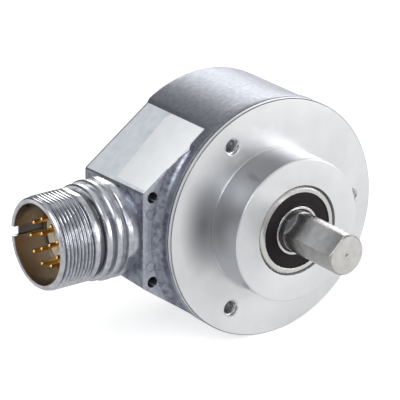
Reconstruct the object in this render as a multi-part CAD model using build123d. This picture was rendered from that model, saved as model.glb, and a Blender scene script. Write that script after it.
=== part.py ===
from build123d import *
import os
from math import cos, degrees, pi, radians, sin, sqrt, tan

# Incremental rotary encoder with a clamping flange, a solid shaft and a radial
# round connector. All sizes are millimetres.
# Frame: the origin is the centre of the mounting face on the shaft axis, the
# shaft axis is Y with the shaft pointing to -Y, the connector points to -X, +Z is up.

# Mounting flange, turned aluminium
FLANGE_DIA = 60.0
FLANGE_RIM = 1.25
FLANGE_BEVEL = 0.2
COLLAR_DIA = 36.0
COLLAR_LEN = 10.0
COLLAR_BEVEL = 0.35
COLLAR_ROOT = 0.4
SEAM_GAP = 0.35
SEAM_DEPTH = 0.9
TAP_EDGE = 6.0
TAP_COUNT = 3
TAP_DIA = 4.0
TAP_SINK_DIA = 4.5
TAP_DEPTH = 5.6

# Housing, die cast, with the machined lip that seats on the flange
LIP_LEN = 3.4
LIP_WALL = 2.02
CAST_STEP = 0.35
CAST_DRAFT = 0.35
CAST_LEN = 25.3
CAVITY_STEP = 0.63
REAR_WALL = 2.5
REAR_ROUND = 1.2
SPIGOT_FIT = 0.03

# Connector block of the housing: its top and bottom slope down to its outer face
BLOCK_PROUD = 4.4
BLOCK_EDGE = 0.7
SLOPE_INSET = 0.35
SLOPE_ANGLE = 35.2
SLOPE_DRAFT = 1.58
STEP_ANGLE = 123.6
STEP_RAMP = 25.0
ROOT_ROUND = 2.2
PAD_RAISE = 0.22
PAD_LEN = 12.0
PAD_SKEW = 2.4
PAD_ROUND = 2.0
BLOCK_HOLE_DIA = 2.8
BLOCK_HOLE_DEPTH = 7.0
BLOCK_HOLE_EDGE = 2.6
BLOCK_HOLE_INSET = 1.2
EJECTOR_DIA = 2.7
EJECTOR_DEPTH = 0.12
EJECTOR_EDGE = 2.1
EJECTOR_INSET = 5.35

# Housing seal, an O-ring squeezed in the spigot groove
SEAL_CORD = 1.6
SEAL_SQUEEZE = 0.25
SEAL_GROOVE_PLAY = 0.3
SEAL_GROOVE_AT = 1.6

# Ball bearings, 10 x 22 x 6, sealed; the shaft fills the bore
SHAFT_DIA = 10.0
BEARING_OD = 22.0
BEARING_WIDTH = 6.0
BEARING_BEVEL = 0.3
BALL_DIA = 3.175
BALL_COUNT = 9
BALL_PLAY = 0.1
TRACK_DEPTH = 0.5
LAND_STEP = 0.65
SEAL_THICK = 0.6
SEAL_RECESS = 0.18
SEAL_LIP_GAP = 0.1
CAGE_THICK = 1.3
CAGE_WIDTH = 2.9
CAGE_BACK = 2.0
BORE_BEVEL = 0.35
BORE_SHOULDER = 4.5
BORE_LAND = 1.4
BACK_PROUD = 0.3

# Bearing preload, a curved spring washer between the shoulder and the rear bearing
SPRING_HEIGHT = 1.2
SPRING_THICK = 0.3
SPRING_LAND = 1.3
SPRING_PLAY = 0.15

# Shaft
SHAFT_REACH = 19.0
SHAFT_BEVEL = 0.4
FLAT_ACROSS = 9.0
FLAT_ANGLE = 134.0
CENTRE_DRILL_DIA = 0.9
RELIEF_DIA = 9.6
RELIEF_LEN = 1.3
RELIEF_IN_BORE = 0.3
CLIP_GROOVE_DIA = 9.3
CLIP_GROOVE_PLAY = 0.1
CLIP_THICK = 1.0
CLIP_LAND = 1.8
CLIP_MOUTH = 40.0
CLIP_LUG_DIA = 2.6
CLIP_EYE_DIA = 1.2
JOURNAL_DIA = 8.0
JOURNAL_STEP = 0.9

# Code disc on its hub at the rear end of the shaft
HUB_BARREL_DIA = 14.0
HUB_BARREL_LEN = 1.5
HUB_FLANGE_DIA = 20.0
HUB_FLANGE_THICK = 1.6
HUB_BOSS_DIA = 11.0
DISC_GAP = 0.9
DISC_THICK = 0.5
DISC_FIT = 0.03
SLIT_COUNT = 60
SLIT_SHARE = 0.5
SLIT_LEN = 2.4
SLIT_EDGE = 0.8
INDEX_GAP = 0.9
INDEX_LEN = 1.4
CLAMP_THICK = 0.8
CLAMP_BACK = 0.3
HUB_SCREW_COUNT = 3
HUB_SCREW_DIA = 1.6
HUB_SCREW_HEAD_DIA = 2.8
HUB_SCREW_HEAD = 0.6
HUB_SCREW_GRIP = 1.2

# Light source in front of the disc and the sensor behind it
LIGHT_GAP = 0.8
LENS_DIA = 4.0
LENS_PROUD = 0.8
LENS_DEPTH = 2.2
HOLDER_WIDTH = 9.0
HOLDER_WALL = 1.0
OPTICS_ANGLE = 90.0
SENSOR_GAP = 0.8
SENSOR_THICK = 1.7
SENSOR_WIDTH = 7.0
SENSOR_LEN = 6.0

# Circuit board on three hexagonal standoffs
BOARD_GAP = 1.85
BOARD_THICK = 1.6
STANDOFF_COUNT = 3
STANDOFF_AF = 4.5
STANDOFF_EDGE = 2.5
STANDOFF_ANGLE = 30.0
BOARD_SCREW_DIA = 2.5
BOARD_SCREW_HEAD_DIA = 4.4
BOARD_SCREW_HEAD = 1.5
BOARD_SCREW_GRIP = 4.0
HOLE_PLAY = 0.1
CHIP_THICK = 1.5
CHIP_PLACES = ((6.0, 8.0, 9.0, 7.0), (7.0, -8.0, 6.0, 6.0), (-6.0, -13.0, 5.0, 5.0))
CAPACITOR_DIA = 5.0
CAPACITOR_HEIGHT = 5.4
CAPACITOR_PLACES = ((15.0, 0.5), (-5.0, 14.0))
SOCKET_EDGE = 5.5
SOCKET_WIDTH = 4.0
SOCKET_LEN = 10.0
SOCKET_THICK = 1.4

# Round connector, M23, twelve male contacts, screwed into the block
PLUG_BACK = 13.5
PLUG_LEN = 21.3
PLUG_THREAD_DIA = 23.0
PLUG_THREAD_LEN = 8.9
PLUG_RIM_BEVEL = 0.5
PLUG_CORE_DIA = 22.0
PLUG_RELIEF_DIA = 21.2
MOUTH_DIA = 19.8
MOUTH_DEPTH = 8.9
LAND_AT = 9.35
LAND_LEN = 1.25
RING_1_AT = 12.4
RING_1_LEN = 1.7
RING_1_DIA = 23.8
RING_2_AT = 15.1
RING_2_LEN = 1.6
RING_2_DIA = 24.7
WRENCH_AT = 18.1
WRENCH_LEN = 1.6
WRENCH_AF = 24.0
WRENCH_CORNER_DIA = 24.6
PLUG_BASE_DIA = 23.6
PLUG_BASE_LEN = 1.6
RING_BEVEL = 0.3
THREAD_FLAT_HEIGHT = 22.2
KEYWAY_WIDTH = 2.4
KEYWAY_OPEN = 2.0
KEYWAY_DEEP = 8.5
KEYWAY_WALL = 0.55
INSERT_DIA = 18.4
INSERT_LEN = 9.0
SHELL_BACK_DIA = 15.6
NIPPLE_DIA = 18.8
NIPPLE_LEN = 4.2
NIPPLE_PLAY = 0.3
NIPPLE_GROOVE_AT = 1.0
NIPPLE_GROOVE_LEN = 1.6
NIPPLE_GROOVE_DEPTH = 1.0
BLOCK_PASSAGE_DIA = 15.0

# Contacts and the wiring behind them
PIN_DIA = 1.0
PIN_PROUD = 7.1
PIN_TAIL = 1.0
PIN_TAPER = 0.2
OUTER_PIN_COUNT = 9
OUTER_PIN_RADIUS = 5.8
INNER_PIN_COUNT = 3
INNER_PIN_RADIUS = 2.2
INNER_PIN_ANGLE = 60.0
TERMINAL_BOARD_DIA = 14.4
TERMINAL_BOARD_THICK = 1.0
FLEX_WIDTH = 8.0
FLEX_THICK = 0.3
FLEX_BEND = 1.2
FLEX_LEG = 3.0

# Places along the shaft axis, from front to rear
COLLAR_Y = -COLLAR_LEN
SEAM_Y = FLANGE_RIM + SEAM_GAP
LIP_END_Y = SEAM_Y + LIP_LEN
REAR_Y = LIP_END_Y + CAST_LEN
PLUG_Y = LIP_END_Y + PLUG_BACK
FRONT_BEARING_Y = COLLAR_Y
SHOULDER_Y = FRONT_BEARING_Y + BEARING_WIDTH
SPRING_Y = SHOULDER_Y + BORE_SHOULDER
REAR_BEARING_Y = SPRING_Y + SPRING_HEIGHT
CLIP_Y = REAR_BEARING_Y + BEARING_WIDTH
FLANGE_BACK_Y = CLIP_Y + BACK_PROUD
HUB_Y = CLIP_Y + CLIP_THICK + JOURNAL_STEP
HUB_FACE_Y = HUB_Y + HUB_BARREL_LEN + HUB_FLANGE_THICK
DISC_BACK_Y = HUB_FACE_Y + DISC_THICK
HUB_END_Y = DISC_BACK_Y + CLAMP_THICK - CLAMP_BACK
SENSOR_Y = DISC_BACK_Y + SENSOR_GAP
BOARD_Y = SENSOR_Y + SENSOR_THICK
BOARD_BACK_Y = BOARD_Y + BOARD_THICK

# Radii that follow from the sizes above
BALL_R = BALL_DIA / 2
PITCH_R = (SHAFT_DIA + BEARING_OD) / 4
TRACK_R = BALL_R + BALL_PLAY
INNER_RING_R = PITCH_R - BALL_R + TRACK_DEPTH
OUTER_RING_R = PITCH_R + BALL_R - TRACK_DEPTH
SEAL_IN_R = INNER_RING_R - LAND_STEP + SEAL_LIP_GAP
SEAL_OUT_R = OUTER_RING_R + TRACK_DEPTH
FLANGE_R = FLANGE_DIA / 2
TAP_R = FLANGE_R - TAP_EDGE
HOUSING_BORE_R = FLANGE_R - LIP_WALL
SPIGOT_R = HOUSING_BORE_R - SPIGOT_FIT
CAVITY_R = HOUSING_BORE_R - CAVITY_STEP
BOARD_R = CAVITY_R - BOARD_GAP
STANDOFF_R = BOARD_R - STANDOFF_EDGE
SOCKET_X = SOCKET_EDGE - BOARD_R
DISC_R = STANDOFF_R - STANDOFF_AF / sqrt(3) - DISC_GAP
SLIT_OUT_R = DISC_R - SLIT_EDGE
OPTICS_R = SLIT_OUT_R - SLIT_LEN / 2
CLAMP_R = HUB_FLANGE_DIA / 2
HUB_SCREW_R = (HUB_BOSS_DIA + HUB_FLANGE_DIA) / 4

# Places along the connector axis, from the block face outwards
BLOCK_FACE_X = -FLANGE_R - BLOCK_PROUD
RIM_X = BLOCK_FACE_X - PLUG_LEN
INSERT_X = RIM_X + MOUTH_DEPTH
INSERT_BACK_X = INSERT_X + INSERT_LEN
TERMINAL_X = INSERT_BACK_X + PIN_TAIL
NIPPLE_END_X = BLOCK_FACE_X + NIPPLE_LEN
PLUG_AXIS = Axis((0, PLUG_Y, 0), (1, 0, 0))


def turned(points):
    """Solid of revolution about the shaft axis from (radius, y) points."""
    return revolve(make_face(Polyline(*points, close=True)), Axis.Y)


def ring(inner_r, outer_r, y0, y1):
    """Plain ring on the shaft axis between y0 and y1."""
    return turned(((inner_r, y0), (outer_r, y0), (outer_r, y1), (inner_r, y1)))


def disc(radius, y0, y1, x=0.0, z=0.0):
    """Cylinder parallel to the shaft axis."""
    place = Pos(x, (y0 + y1) / 2, z) * Rot(90, 0, 0)
    return place * Cylinder(radius, y1 - y0)


def plug_turned(points):
    """Solid of revolution about the connector axis from (x, radius) points."""
    outline = Polyline(*[(x, PLUG_Y + r) for x, r in points], close=True)
    return revolve(make_face(outline), PLUG_AXIS)


def plug_disc(radius, x0, x1, y=0.0, z=0.0):
    """Cylinder parallel to the connector axis, at an offset from it."""
    place = Pos((x0 + x1) / 2, PLUG_Y + y, z) * Rot(0, 90, 0)
    return place * Cylinder(radius, x1 - x0)


def around(angle_deg, radius):
    """(x, z) of a place at this angle about the shaft axis, from +X towards +Z."""
    return radius * cos(radians(angle_deg)), radius * sin(radians(angle_deg))


def groove_for(cord, groove_r, bore_r):
    """Width of a squeezed seal that keeps the section of its cord."""
    return pi * cord * cord / 4 / (bore_r - groove_r)


# Flange

def flange_blank():
    """Collar, rim, seam neck and spigot in one turned outline."""
    rim_r = FLANGE_R
    neck_r = rim_r - SEAM_DEPTH
    collar_r = COLLAR_DIA / 2
    outline = (
        (0, COLLAR_Y),
        (collar_r - COLLAR_BEVEL, COLLAR_Y),
        (collar_r, COLLAR_Y + COLLAR_BEVEL),
        (collar_r, -COLLAR_ROOT),
        (collar_r + COLLAR_ROOT, 0),
        (rim_r - FLANGE_BEVEL, 0),
        (rim_r, FLANGE_BEVEL),
        (rim_r, FLANGE_RIM - FLANGE_BEVEL),
        (rim_r - FLANGE_BEVEL, FLANGE_RIM),
        (neck_r, FLANGE_RIM),
        (neck_r, SEAM_Y),
        (SPIGOT_R, SEAM_Y),
        (SPIGOT_R, FLANGE_BACK_Y),
        (0, FLANGE_BACK_Y),
    )
    return turned(outline)


def bearing_bore():
    """Both bearing seats and the shoulder that parts them."""
    seat_r = BEARING_OD / 2
    outline = (
        (0, COLLAR_Y),
        (seat_r + BORE_BEVEL, COLLAR_Y),
        (seat_r, COLLAR_Y + BORE_BEVEL),
        (seat_r, SHOULDER_Y),
        (seat_r - BORE_LAND, SHOULDER_Y),
        (seat_r - BORE_LAND, SPRING_Y),
        (seat_r, SPRING_Y),
        (seat_r, FLANGE_BACK_Y),
        (0, FLANGE_BACK_Y),
    )
    return turned(outline)


def tapped_hole(angle):
    """Blind hole in the mounting face with its countersink and drill point."""
    radius = TAP_DIA / 2
    sink = (TAP_SINK_DIA - TAP_DIA) / 2
    outline = (
        (0, 0),
        (radius + sink, 0),
        (radius, sink),
        (radius, TAP_DEPTH),
        (0, TAP_DEPTH + radius * tan(radians(31))),
    )
    x, z = around(angle, TAP_R)
    return Pos(x, 0, z) * turned(outline)


def seal_groove(cord, squeeze, bore_r, at):
    """Groove and seal of a radial O-ring on the shaft axis: (groove, seal)."""
    groove_r = bore_r - (cord - squeeze)
    width = groove_for(cord, groove_r, bore_r)
    groove = ring(groove_r, bore_r, at, at + width + SEAL_GROOVE_PLAY)
    seal = ring(groove_r, bore_r, at, at + width)
    return groove, seal


def front_flange():
    """Flange with collar, bearing seats, tapped holes and the seal groove."""
    body = flange_blank() - bearing_bore()
    for k in range(TAP_COUNT):
        body -= tapped_hole(360 / TAP_COUNT * k)
    groove, _ = seal_groove(SEAL_CORD, SEAL_SQUEEZE, HOUSING_BORE_R, SEAM_Y + SEAL_GROOVE_AT)
    body -= groove
    for x, z in standoff_places():
        body -= disc(BOARD_SCREW_DIA / 2, FLANGE_BACK_Y - BOARD_SCREW_GRIP / 2, FLANGE_BACK_Y, x, z)
    return body


def housing_seal():
    """O-ring between the flange spigot and the housing."""
    _, seal = seal_groove(SEAL_CORD, SEAL_SQUEEZE, HOUSING_BORE_R, SEAM_Y + SEAL_GROOVE_AT)
    return seal


# Housing

def slope_distance(y):
    """Distance of the sloping faces from the shaft axis, less towards the rear by the draft."""
    return FLANGE_R - SLOPE_INSET - (y - LIP_END_Y) * tan(radians(SLOPE_DRAFT))


def slope_point(y, along, lift=0.0):
    """Point (x, z) of the upper slope, measured along it from its foot nearest the axis."""
    normal = radians(90 + SLOPE_ANGLE)
    reach = slope_distance(y) + lift
    return (
        reach * cos(normal) + along * cos(radians(SLOPE_ANGLE)),
        reach * sin(normal) + along * sin(radians(SLOPE_ANGLE)),
    )


def slope_end(y):
    """How far along the slope its outer end lies, where it meets the block face."""
    foot_x, _ = slope_point(y, 0)
    return (BLOCK_FACE_X - foot_x) / cos(radians(SLOPE_ANGLE))


def step_along(y):
    """How far along the slope the small ramp up to the round casting starts."""
    normal = 90 + SLOPE_ANGLE
    return slope_distance(y) * tan(radians(normal - STEP_ANGLE))


def section(y, points):
    """Closed outline (x, z) as a face at this y."""
    return make_face(Polyline(*[(x, y, z) for x, z in points], close=True))


def mirrored(points):
    """Outline closed by its mirror image below the axis."""
    return list(points) + [(x, -z) for x, z in reversed(points)]


def block_section(y):
    """Outline of the connector block: outer face, both slopes, back to inside the round wall."""
    step = slope_point(y, step_along(y))
    inner = (step[0] * 0.94, step[1] * 0.94)
    return mirrored([inner, step, slope_point(y, slope_end(y))])


def connector_block():
    """The block, drafted from front to rear, with its bevelled outer face."""
    front = section(LIP_END_Y, block_section(LIP_END_Y))
    rear = section(REAR_Y, block_section(REAR_Y))
    block = loft([front, rear], ruled=True)
    outer = block.faces().sort_by(Axis.X)[0]
    return chamfer(outer.edges(), BLOCK_EDGE)


def slope_trim(side):
    """What the slope and its end ramp take off the round casting, above or below."""
    def outline(y):
        far = FLANGE_DIA
        foot = slope_point(y, step_along(y))
        ramp = radians(SLOPE_ANGLE + STEP_RAMP)
        top = (foot[0] + far * cos(ramp), foot[1] + far * sin(ramp))
        low = slope_point(y, slope_end(y) * 2)
        out = slope_point(y, slope_end(y) * 2, far)
        return [(x, side * z) for x, z in (foot, top, out, low)]

    rear_y = REAR_Y + REAR_WALL
    return loft([section(LIP_END_Y, outline(LIP_END_Y)), section(rear_y, outline(rear_y))], ruled=True)


def cast_cup():
    """Round part of the housing outside: machined lip, drafted wall and rounded rear edge."""
    cast_r = FLANGE_R - CAST_STEP
    rear_r = cast_r - CAST_LEN * tan(radians(CAST_DRAFT))
    wall = Polyline((0, SEAM_Y), (FLANGE_R, SEAM_Y), (FLANGE_R, LIP_END_Y), (cast_r, LIP_END_Y),
                    (rear_r, REAR_Y), (0, REAR_Y), close=True)
    face = make_face(wall)
    corner = face.vertices().sort_by(lambda v: (v.Y, v.X))[-1]
    face = fillet(corner, REAR_ROUND)
    return revolve(face, Axis.Y)


def root_round():
    """Concave round between the lip and the front face of the block."""
    lip_r = FLANGE_R
    y = LIP_END_Y
    low = y - ROOT_ROUND
    middle = (lip_r + ROOT_ROUND * (1 - cos(radians(45))), low + ROOT_ROUND * sin(radians(45)))
    edges = [
        Polyline((lip_r + ROOT_ROUND, y), (lip_r + ROOT_ROUND, y + BLOCK_EDGE),
                 (lip_r - ROOT_ROUND, y + BLOCK_EDGE), (lip_r - ROOT_ROUND, low), (lip_r, low)),
        ThreePointArc((lip_r, low), middle, (lip_r + ROOT_ROUND, y)),
    ]
    band = revolve(make_face(edges), Axis.Y)
    return band & extrude(section(low, block_section(y)), amount=ROOT_ROUND + BLOCK_EDGE, dir=(0, 1, 0))


def machined_pad():
    """Low raised pad on the front part of the upper slope, its rear corner rounded."""
    normal = radians(90 + SLOPE_ANGLE)
    foot = slope_point(LIP_END_Y, 0)
    plane = Plane(
        origin=(foot[0], LIP_END_Y, foot[1]),
        x_dir=(cos(radians(SLOPE_ANGLE)), 0, sin(radians(SLOPE_ANGLE))),
        z_dir=(cos(normal), 0, sin(normal)),
    )
    low = slope_end(LIP_END_Y) + BLOCK_EDGE
    high = step_along(LIP_END_Y) - PAD_RAISE
    outline = Polyline((low, 0), (high, 0), (high, PAD_LEN + PAD_SKEW), (low, PAD_LEN), close=True)
    face = make_face(outline)
    face = fillet(face.vertices().sort_by(lambda v: (v.Y, v.X))[-1], PAD_ROUND)
    return extrude(plane * face, amount=PAD_RAISE) + extrude(plane * face, amount=-PAD_RAISE * 3)


def housing_cavity():
    """Inside of the cup: spigot bore, drafted wall and flat floor."""
    seat_end = FLANGE_BACK_Y + SEAL_GROOVE_PLAY
    floor = REAR_Y - REAR_WALL
    floor_r = CAVITY_R - (floor - seat_end) * tan(radians(CAST_DRAFT))
    outline = (
        (0, SEAM_Y),
        (HOUSING_BORE_R, SEAM_Y),
        (HOUSING_BORE_R, seat_end),
        (CAVITY_R, seat_end),
        (floor_r, floor),
        (0, floor),
    )
    return turned(outline)


def block_holes():
    """Two blind screw holes and two shallow ejector marks in the front face of the block."""
    _, corner_z = slope_point(LIP_END_Y, slope_end(LIP_END_Y))
    cuts = []
    for side in (1, -1):
        cuts.append(disc(BLOCK_HOLE_DIA / 2, LIP_END_Y, LIP_END_Y + BLOCK_HOLE_DEPTH,
                         BLOCK_FACE_X + BLOCK_HOLE_EDGE, side * (corner_z - BLOCK_HOLE_INSET)))
        cuts.append(disc(EJECTOR_DIA / 2, LIP_END_Y, LIP_END_Y + EJECTOR_DEPTH,
                         BLOCK_FACE_X + EJECTOR_EDGE, side * (corner_z - EJECTOR_INSET)))
    return cuts


def housing():
    """Die-cast housing with the connector block and the bore that takes the connector."""
    body = cast_cup() - slope_trim(1) - slope_trim(-1)
    body += connector_block()
    body += root_round()
    body += machined_pad()
    body -= housing_cavity()
    body -= plug_disc(NIPPLE_DIA / 2 + SPIGOT_FIT, BLOCK_FACE_X, NIPPLE_END_X + NIPPLE_PLAY)
    body -= plug_disc(BLOCK_PASSAGE_DIA / 2, BLOCK_FACE_X, -HOUSING_BORE_R / 2)
    for cut in block_holes():
        body -= cut
    return body


# Bearings: each function takes the y of the front side face

def outer_ring(y):
    """Outer ring with its ball track and the steps that hold the two seals."""
    mid = y + BEARING_WIDTH / 2
    far = y + BEARING_WIDTH
    r = BEARING_OD / 2
    deep = SEAL_RECESS + SEAL_THICK
    outline = (
        (SEAL_OUT_R, y), (r - BEARING_BEVEL, y), (r, y + BEARING_BEVEL), (r, far - BEARING_BEVEL),
        (r - BEARING_BEVEL, far), (SEAL_OUT_R, far), (SEAL_OUT_R, far - deep),
        (OUTER_RING_R, far - deep), (OUTER_RING_R, y + deep), (SEAL_OUT_R, y + deep),
    )
    return turned(outline) - ball_track(mid)


def inner_ring(y):
    """Inner ring with its ball track and a stepped land under each seal lip."""
    mid = y + BEARING_WIDTH / 2
    far = y + BEARING_WIDTH
    r = SHAFT_DIA / 2
    land = INNER_RING_R - LAND_STEP
    deep = SEAL_RECESS + SEAL_THICK + SEAL_LIP_GAP
    outline = (
        (r + BEARING_BEVEL, y), (land, y), (land, y + deep), (INNER_RING_R, y + deep),
        (INNER_RING_R, far - deep), (land, far - deep), (land, far), (r + BEARING_BEVEL, far),
        (r, far - BEARING_BEVEL), (r, y + BEARING_BEVEL),
    )
    return turned(outline) - ball_track(mid)


def ball_track(mid):
    """The torus that both rings are ground with."""
    return Pos(0, mid, 0) * Rot(90, 0, 0) * Torus(PITCH_R, TRACK_R)


def ball_places():
    """Angle and place (x, z) of each ball about the shaft axis."""
    angles = [360 / BALL_COUNT * k for k in range(BALL_COUNT)]
    return [(angle, *around(angle, PITCH_R)) for angle in angles]


def balls(y):
    """The balls of one bearing as separate solids."""
    mid = y + BEARING_WIDTH / 2
    return Compound([(Pos(x, mid, z) * Sphere(BALL_R)).solid() for _, x, z in ball_places()])


def cage(y):
    """Snap cage: a ring behind the balls with a round pocket for each one."""
    mid = y + BEARING_WIDTH / 2
    back = mid + CAGE_BACK
    body = ring(PITCH_R - CAGE_THICK / 2, PITCH_R + CAGE_THICK / 2, back - CAGE_WIDTH, back)
    for angle, x, z in ball_places():
        body -= Pos(x, mid, z) * Rot(0, 90 - angle, 0) * Cylinder(TRACK_R, 2 * CAGE_THICK)
    return body


def seals(y):
    """Both seals of one bearing, each a washer with a raised inner lip."""
    r0 = SEAL_IN_R
    front = y + SEAL_RECESS
    rib = (SEAL_OUT_R - SEAL_IN_R) / 5
    outline = (
        (r0, front - SEAL_RECESS / 2), (r0 + rib, front - SEAL_RECESS / 2), (r0 + rib * 1.3, front),
        (SEAL_OUT_R, front), (SEAL_OUT_R, front + SEAL_THICK), (r0, front + SEAL_THICK),
    )
    near = turned(outline)
    far = mirror(near, Plane.XZ.offset(-(y + BEARING_WIDTH / 2)))
    return Compound([near.solid(), far.solid()])


def preload_spring():
    """Curved spring washer: a ring cut from a bent strip."""
    r = BEARING_OD / 2 - SPRING_PLAY
    rise = SPRING_HEIGHT - SPRING_THICK
    bend_r = (r * r + rise * rise) / (2 * rise)
    near = SPRING_Y
    centre = near + bend_r + SPRING_THICK
    tube = ring(r - SPRING_LAND, r, near, near + SPRING_HEIGHT)
    strip = disc_along_x(bend_r + SPRING_THICK, centre, r) - disc_along_x(bend_r, centre, r)
    return tube & strip


def disc_along_x(radius, centre_y, half_length):
    """Cylinder parallel to X about a line through (0, centre_y, 0)."""
    return Pos(0, centre_y, 0) * Rot(0, 90, 0) * Cylinder(radius, 2 * half_length)


# Shaft and what turns with it

def shaft():
    """Stepped shaft: the flat runs out in the grinding relief before the front bearing seat."""
    r = SHAFT_DIA / 2
    tip = COLLAR_Y - SHAFT_REACH
    groove_end = CLIP_Y + CLIP_THICK + CLIP_GROOVE_PLAY
    relief_end = FRONT_BEARING_Y + RELIEF_IN_BORE
    relief = relief_end - RELIEF_LEN
    outline = (
        (0, tip), (r - SHAFT_BEVEL, tip), (r, tip + SHAFT_BEVEL), (r, relief),
        (RELIEF_DIA / 2, relief), (RELIEF_DIA / 2, relief_end), (r, relief_end), (r, CLIP_Y),
        (CLIP_GROOVE_DIA / 2, CLIP_Y), (CLIP_GROOVE_DIA / 2, groove_end), (r, groove_end),
        (r, HUB_Y), (JOURNAL_DIA / 2, HUB_Y), (JOURNAL_DIA / 2, HUB_END_Y - SHAFT_BEVEL),
        (JOURNAL_DIA / 2 - SHAFT_BEVEL, HUB_END_Y), (0, HUB_END_Y),
    )
    body = turned(outline)
    drill = CENTRE_DRILL_DIA / 2
    body -= turned(((0, tip), (drill, tip), (0, tip + drill * 2)))
    flat_at = FLAT_ACROSS - r
    slab = Pos(flat_at + r, (tip + relief) / 2, 0) * Box(2 * r, relief - tip, 4 * r)
    return body - Rot(0, -FLAT_ANGLE, 0) * slab


def shaft_clip():
    """Retaining ring in the shaft groove, open at its mouth, with two eyed lugs."""
    r0 = CLIP_GROOVE_DIA / 2
    end = CLIP_Y + CLIP_THICK
    body = ring(r0, r0 + CLIP_LAND, CLIP_Y, end)
    mouth = section(CLIP_Y, [(0, 0), around(-CLIP_MOUTH / 2, 4 * r0), around(CLIP_MOUTH / 2, 4 * r0)])
    body -= extrude(mouth, amount=CLIP_THICK, dir=(0, 1, 0))
    lug_r = CLIP_LUG_DIA / 2
    lug_turn = CLIP_MOUTH / 2 + degrees(lug_r / (r0 + CLIP_LAND))
    for side in (1, -1):
        x, z = around(side * lug_turn, r0 + lug_r + CLIP_LAND / 4)
        body += disc(lug_r, CLIP_Y, end, x, z)
        body -= disc(CLIP_EYE_DIA / 2, CLIP_Y, end, x, z)
    return body


def hub_screw_places():
    """Places of the clamp screws about the shaft axis."""
    return [around(360 / HUB_SCREW_COUNT * k, HUB_SCREW_R) for k in range(HUB_SCREW_COUNT)]


def disc_hub():
    """Hub bonded on the shaft journal, with the face and the boss that carry the disc."""
    barrel_end = HUB_Y + HUB_BARREL_LEN
    bore = JOURNAL_DIA / 2
    boss = HUB_BOSS_DIA / 2
    outline = (
        (bore, HUB_Y), (HUB_BARREL_DIA / 2, HUB_Y), (HUB_BARREL_DIA / 2, barrel_end),
        (HUB_FLANGE_DIA / 2, barrel_end), (HUB_FLANGE_DIA / 2, HUB_FACE_Y), (boss, HUB_FACE_Y),
        (boss, HUB_END_Y), (bore, HUB_END_Y),
    )
    body = turned(outline)
    for x, z in hub_screw_places():
        body -= disc(HUB_SCREW_DIA / 2, HUB_FACE_Y - HUB_SCREW_GRIP, HUB_FACE_Y, x, z)
    return body


def slit(angle, r0, r1, width):
    """One radial window of the disc, as a flat outline at the hub face."""
    half = width / 2
    corners = ((r0, -half), (r1, -half), (r1, half), (r0, half))
    c, s = around(angle, 1)
    return section(HUB_FACE_Y, [(u * c - v * s, u * s + v * c) for u, v in corners])


def code_disc():
    """Thin metal disc with a track of radial slits and one index slit."""
    width = 2 * pi * OPTICS_R / SLIT_COUNT * SLIT_SHARE
    slit_in_r = SLIT_OUT_R - SLIT_LEN
    windows = [slit(360 / SLIT_COUNT * k, slit_in_r, SLIT_OUT_R, width) for k in range(SLIT_COUNT)]
    index_r = slit_in_r - INDEX_GAP
    windows.append(slit(OPTICS_ANGLE, index_r - INDEX_LEN, index_r, width))
    middle = disc_circle(HUB_BOSS_DIA / 2 + DISC_FIT, 0, 0)
    screw_holes = [disc_circle(HUB_SCREW_DIA / 2 + HOLE_PLAY, x, z) for x, z in hub_screw_places()]
    holes = [middle] + screw_holes + [window.face().outer_wire() for window in windows]
    return extrude(Face(disc_circle(DISC_R, 0, 0), holes), amount=DISC_THICK, dir=(0, 1, 0))


def disc_circle(radius, x, z):
    """Circle in the plane of the hub face."""
    return Wire.make_circle(radius, Plane((x, HUB_FACE_Y, z), z_dir=(0, 1, 0)))


def disc_clamp_ring():
    """Ring that presses the disc on its hub."""
    body = ring(HUB_BOSS_DIA / 2 + DISC_FIT, CLAMP_R, DISC_BACK_Y, DISC_BACK_Y + CLAMP_THICK)
    for x, z in hub_screw_places():
        body -= disc(HUB_SCREW_DIA / 2 + HOLE_PLAY, DISC_BACK_Y, DISC_BACK_Y + CLAMP_THICK, x, z)
    return body


def disc_screws():
    """Screws through the clamp ring and the disc into the hub."""
    top = DISC_BACK_Y + CLAMP_THICK
    screws = []
    for x, z in hub_screw_places():
        one = disc(HUB_SCREW_DIA / 2, HUB_FACE_Y - HUB_SCREW_GRIP, top, x, z)
        one += disc(HUB_SCREW_HEAD_DIA / 2, top, top + HUB_SCREW_HEAD, x, z)
        screws.append(one.solid())
    return Compound(screws)


# Optics and electronics

def light_holder():
    """Plastic holder that stands on the flange back and carries the light source."""
    x, z = around(OPTICS_ANGLE, OPTICS_R)
    top = HUB_FACE_Y - LIGHT_GAP - LENS_PROUD
    depth = LENS_DIA + 2 * HOLDER_WALL
    height = top - FLANGE_BACK_Y
    body = Pos(0, FLANGE_BACK_Y + height / 2, 0) * Box(depth, height, HOLDER_WIDTH)
    body = Pos(x, 0, z) * Rot(0, -OPTICS_ANGLE, 0) * body
    return body - disc(LENS_DIA / 2, top - LENS_DEPTH, top, x, z)


def light_source():
    """Light-emitting diode with its domed lens facing the disc."""
    x, z = around(OPTICS_ANGLE, OPTICS_R)
    tip = HUB_FACE_Y - LIGHT_GAP
    base = tip - LENS_PROUD - LENS_DEPTH
    radius = LENS_DIA / 2
    dome_r = (radius * radius + LENS_PROUD * LENS_PROUD) / (2 * LENS_PROUD)
    body = disc(radius, base, tip, x, z)
    return body & (Pos(x, tip - dome_r, z) * Sphere(dome_r) + disc(radius, base, tip - LENS_PROUD, x, z))


def standoff_places():
    """Places of the board standoffs about the shaft axis."""
    step = 360 / STANDOFF_COUNT
    return [around(STANDOFF_ANGLE + step * k, STANDOFF_R) for k in range(STANDOFF_COUNT)]


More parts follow.
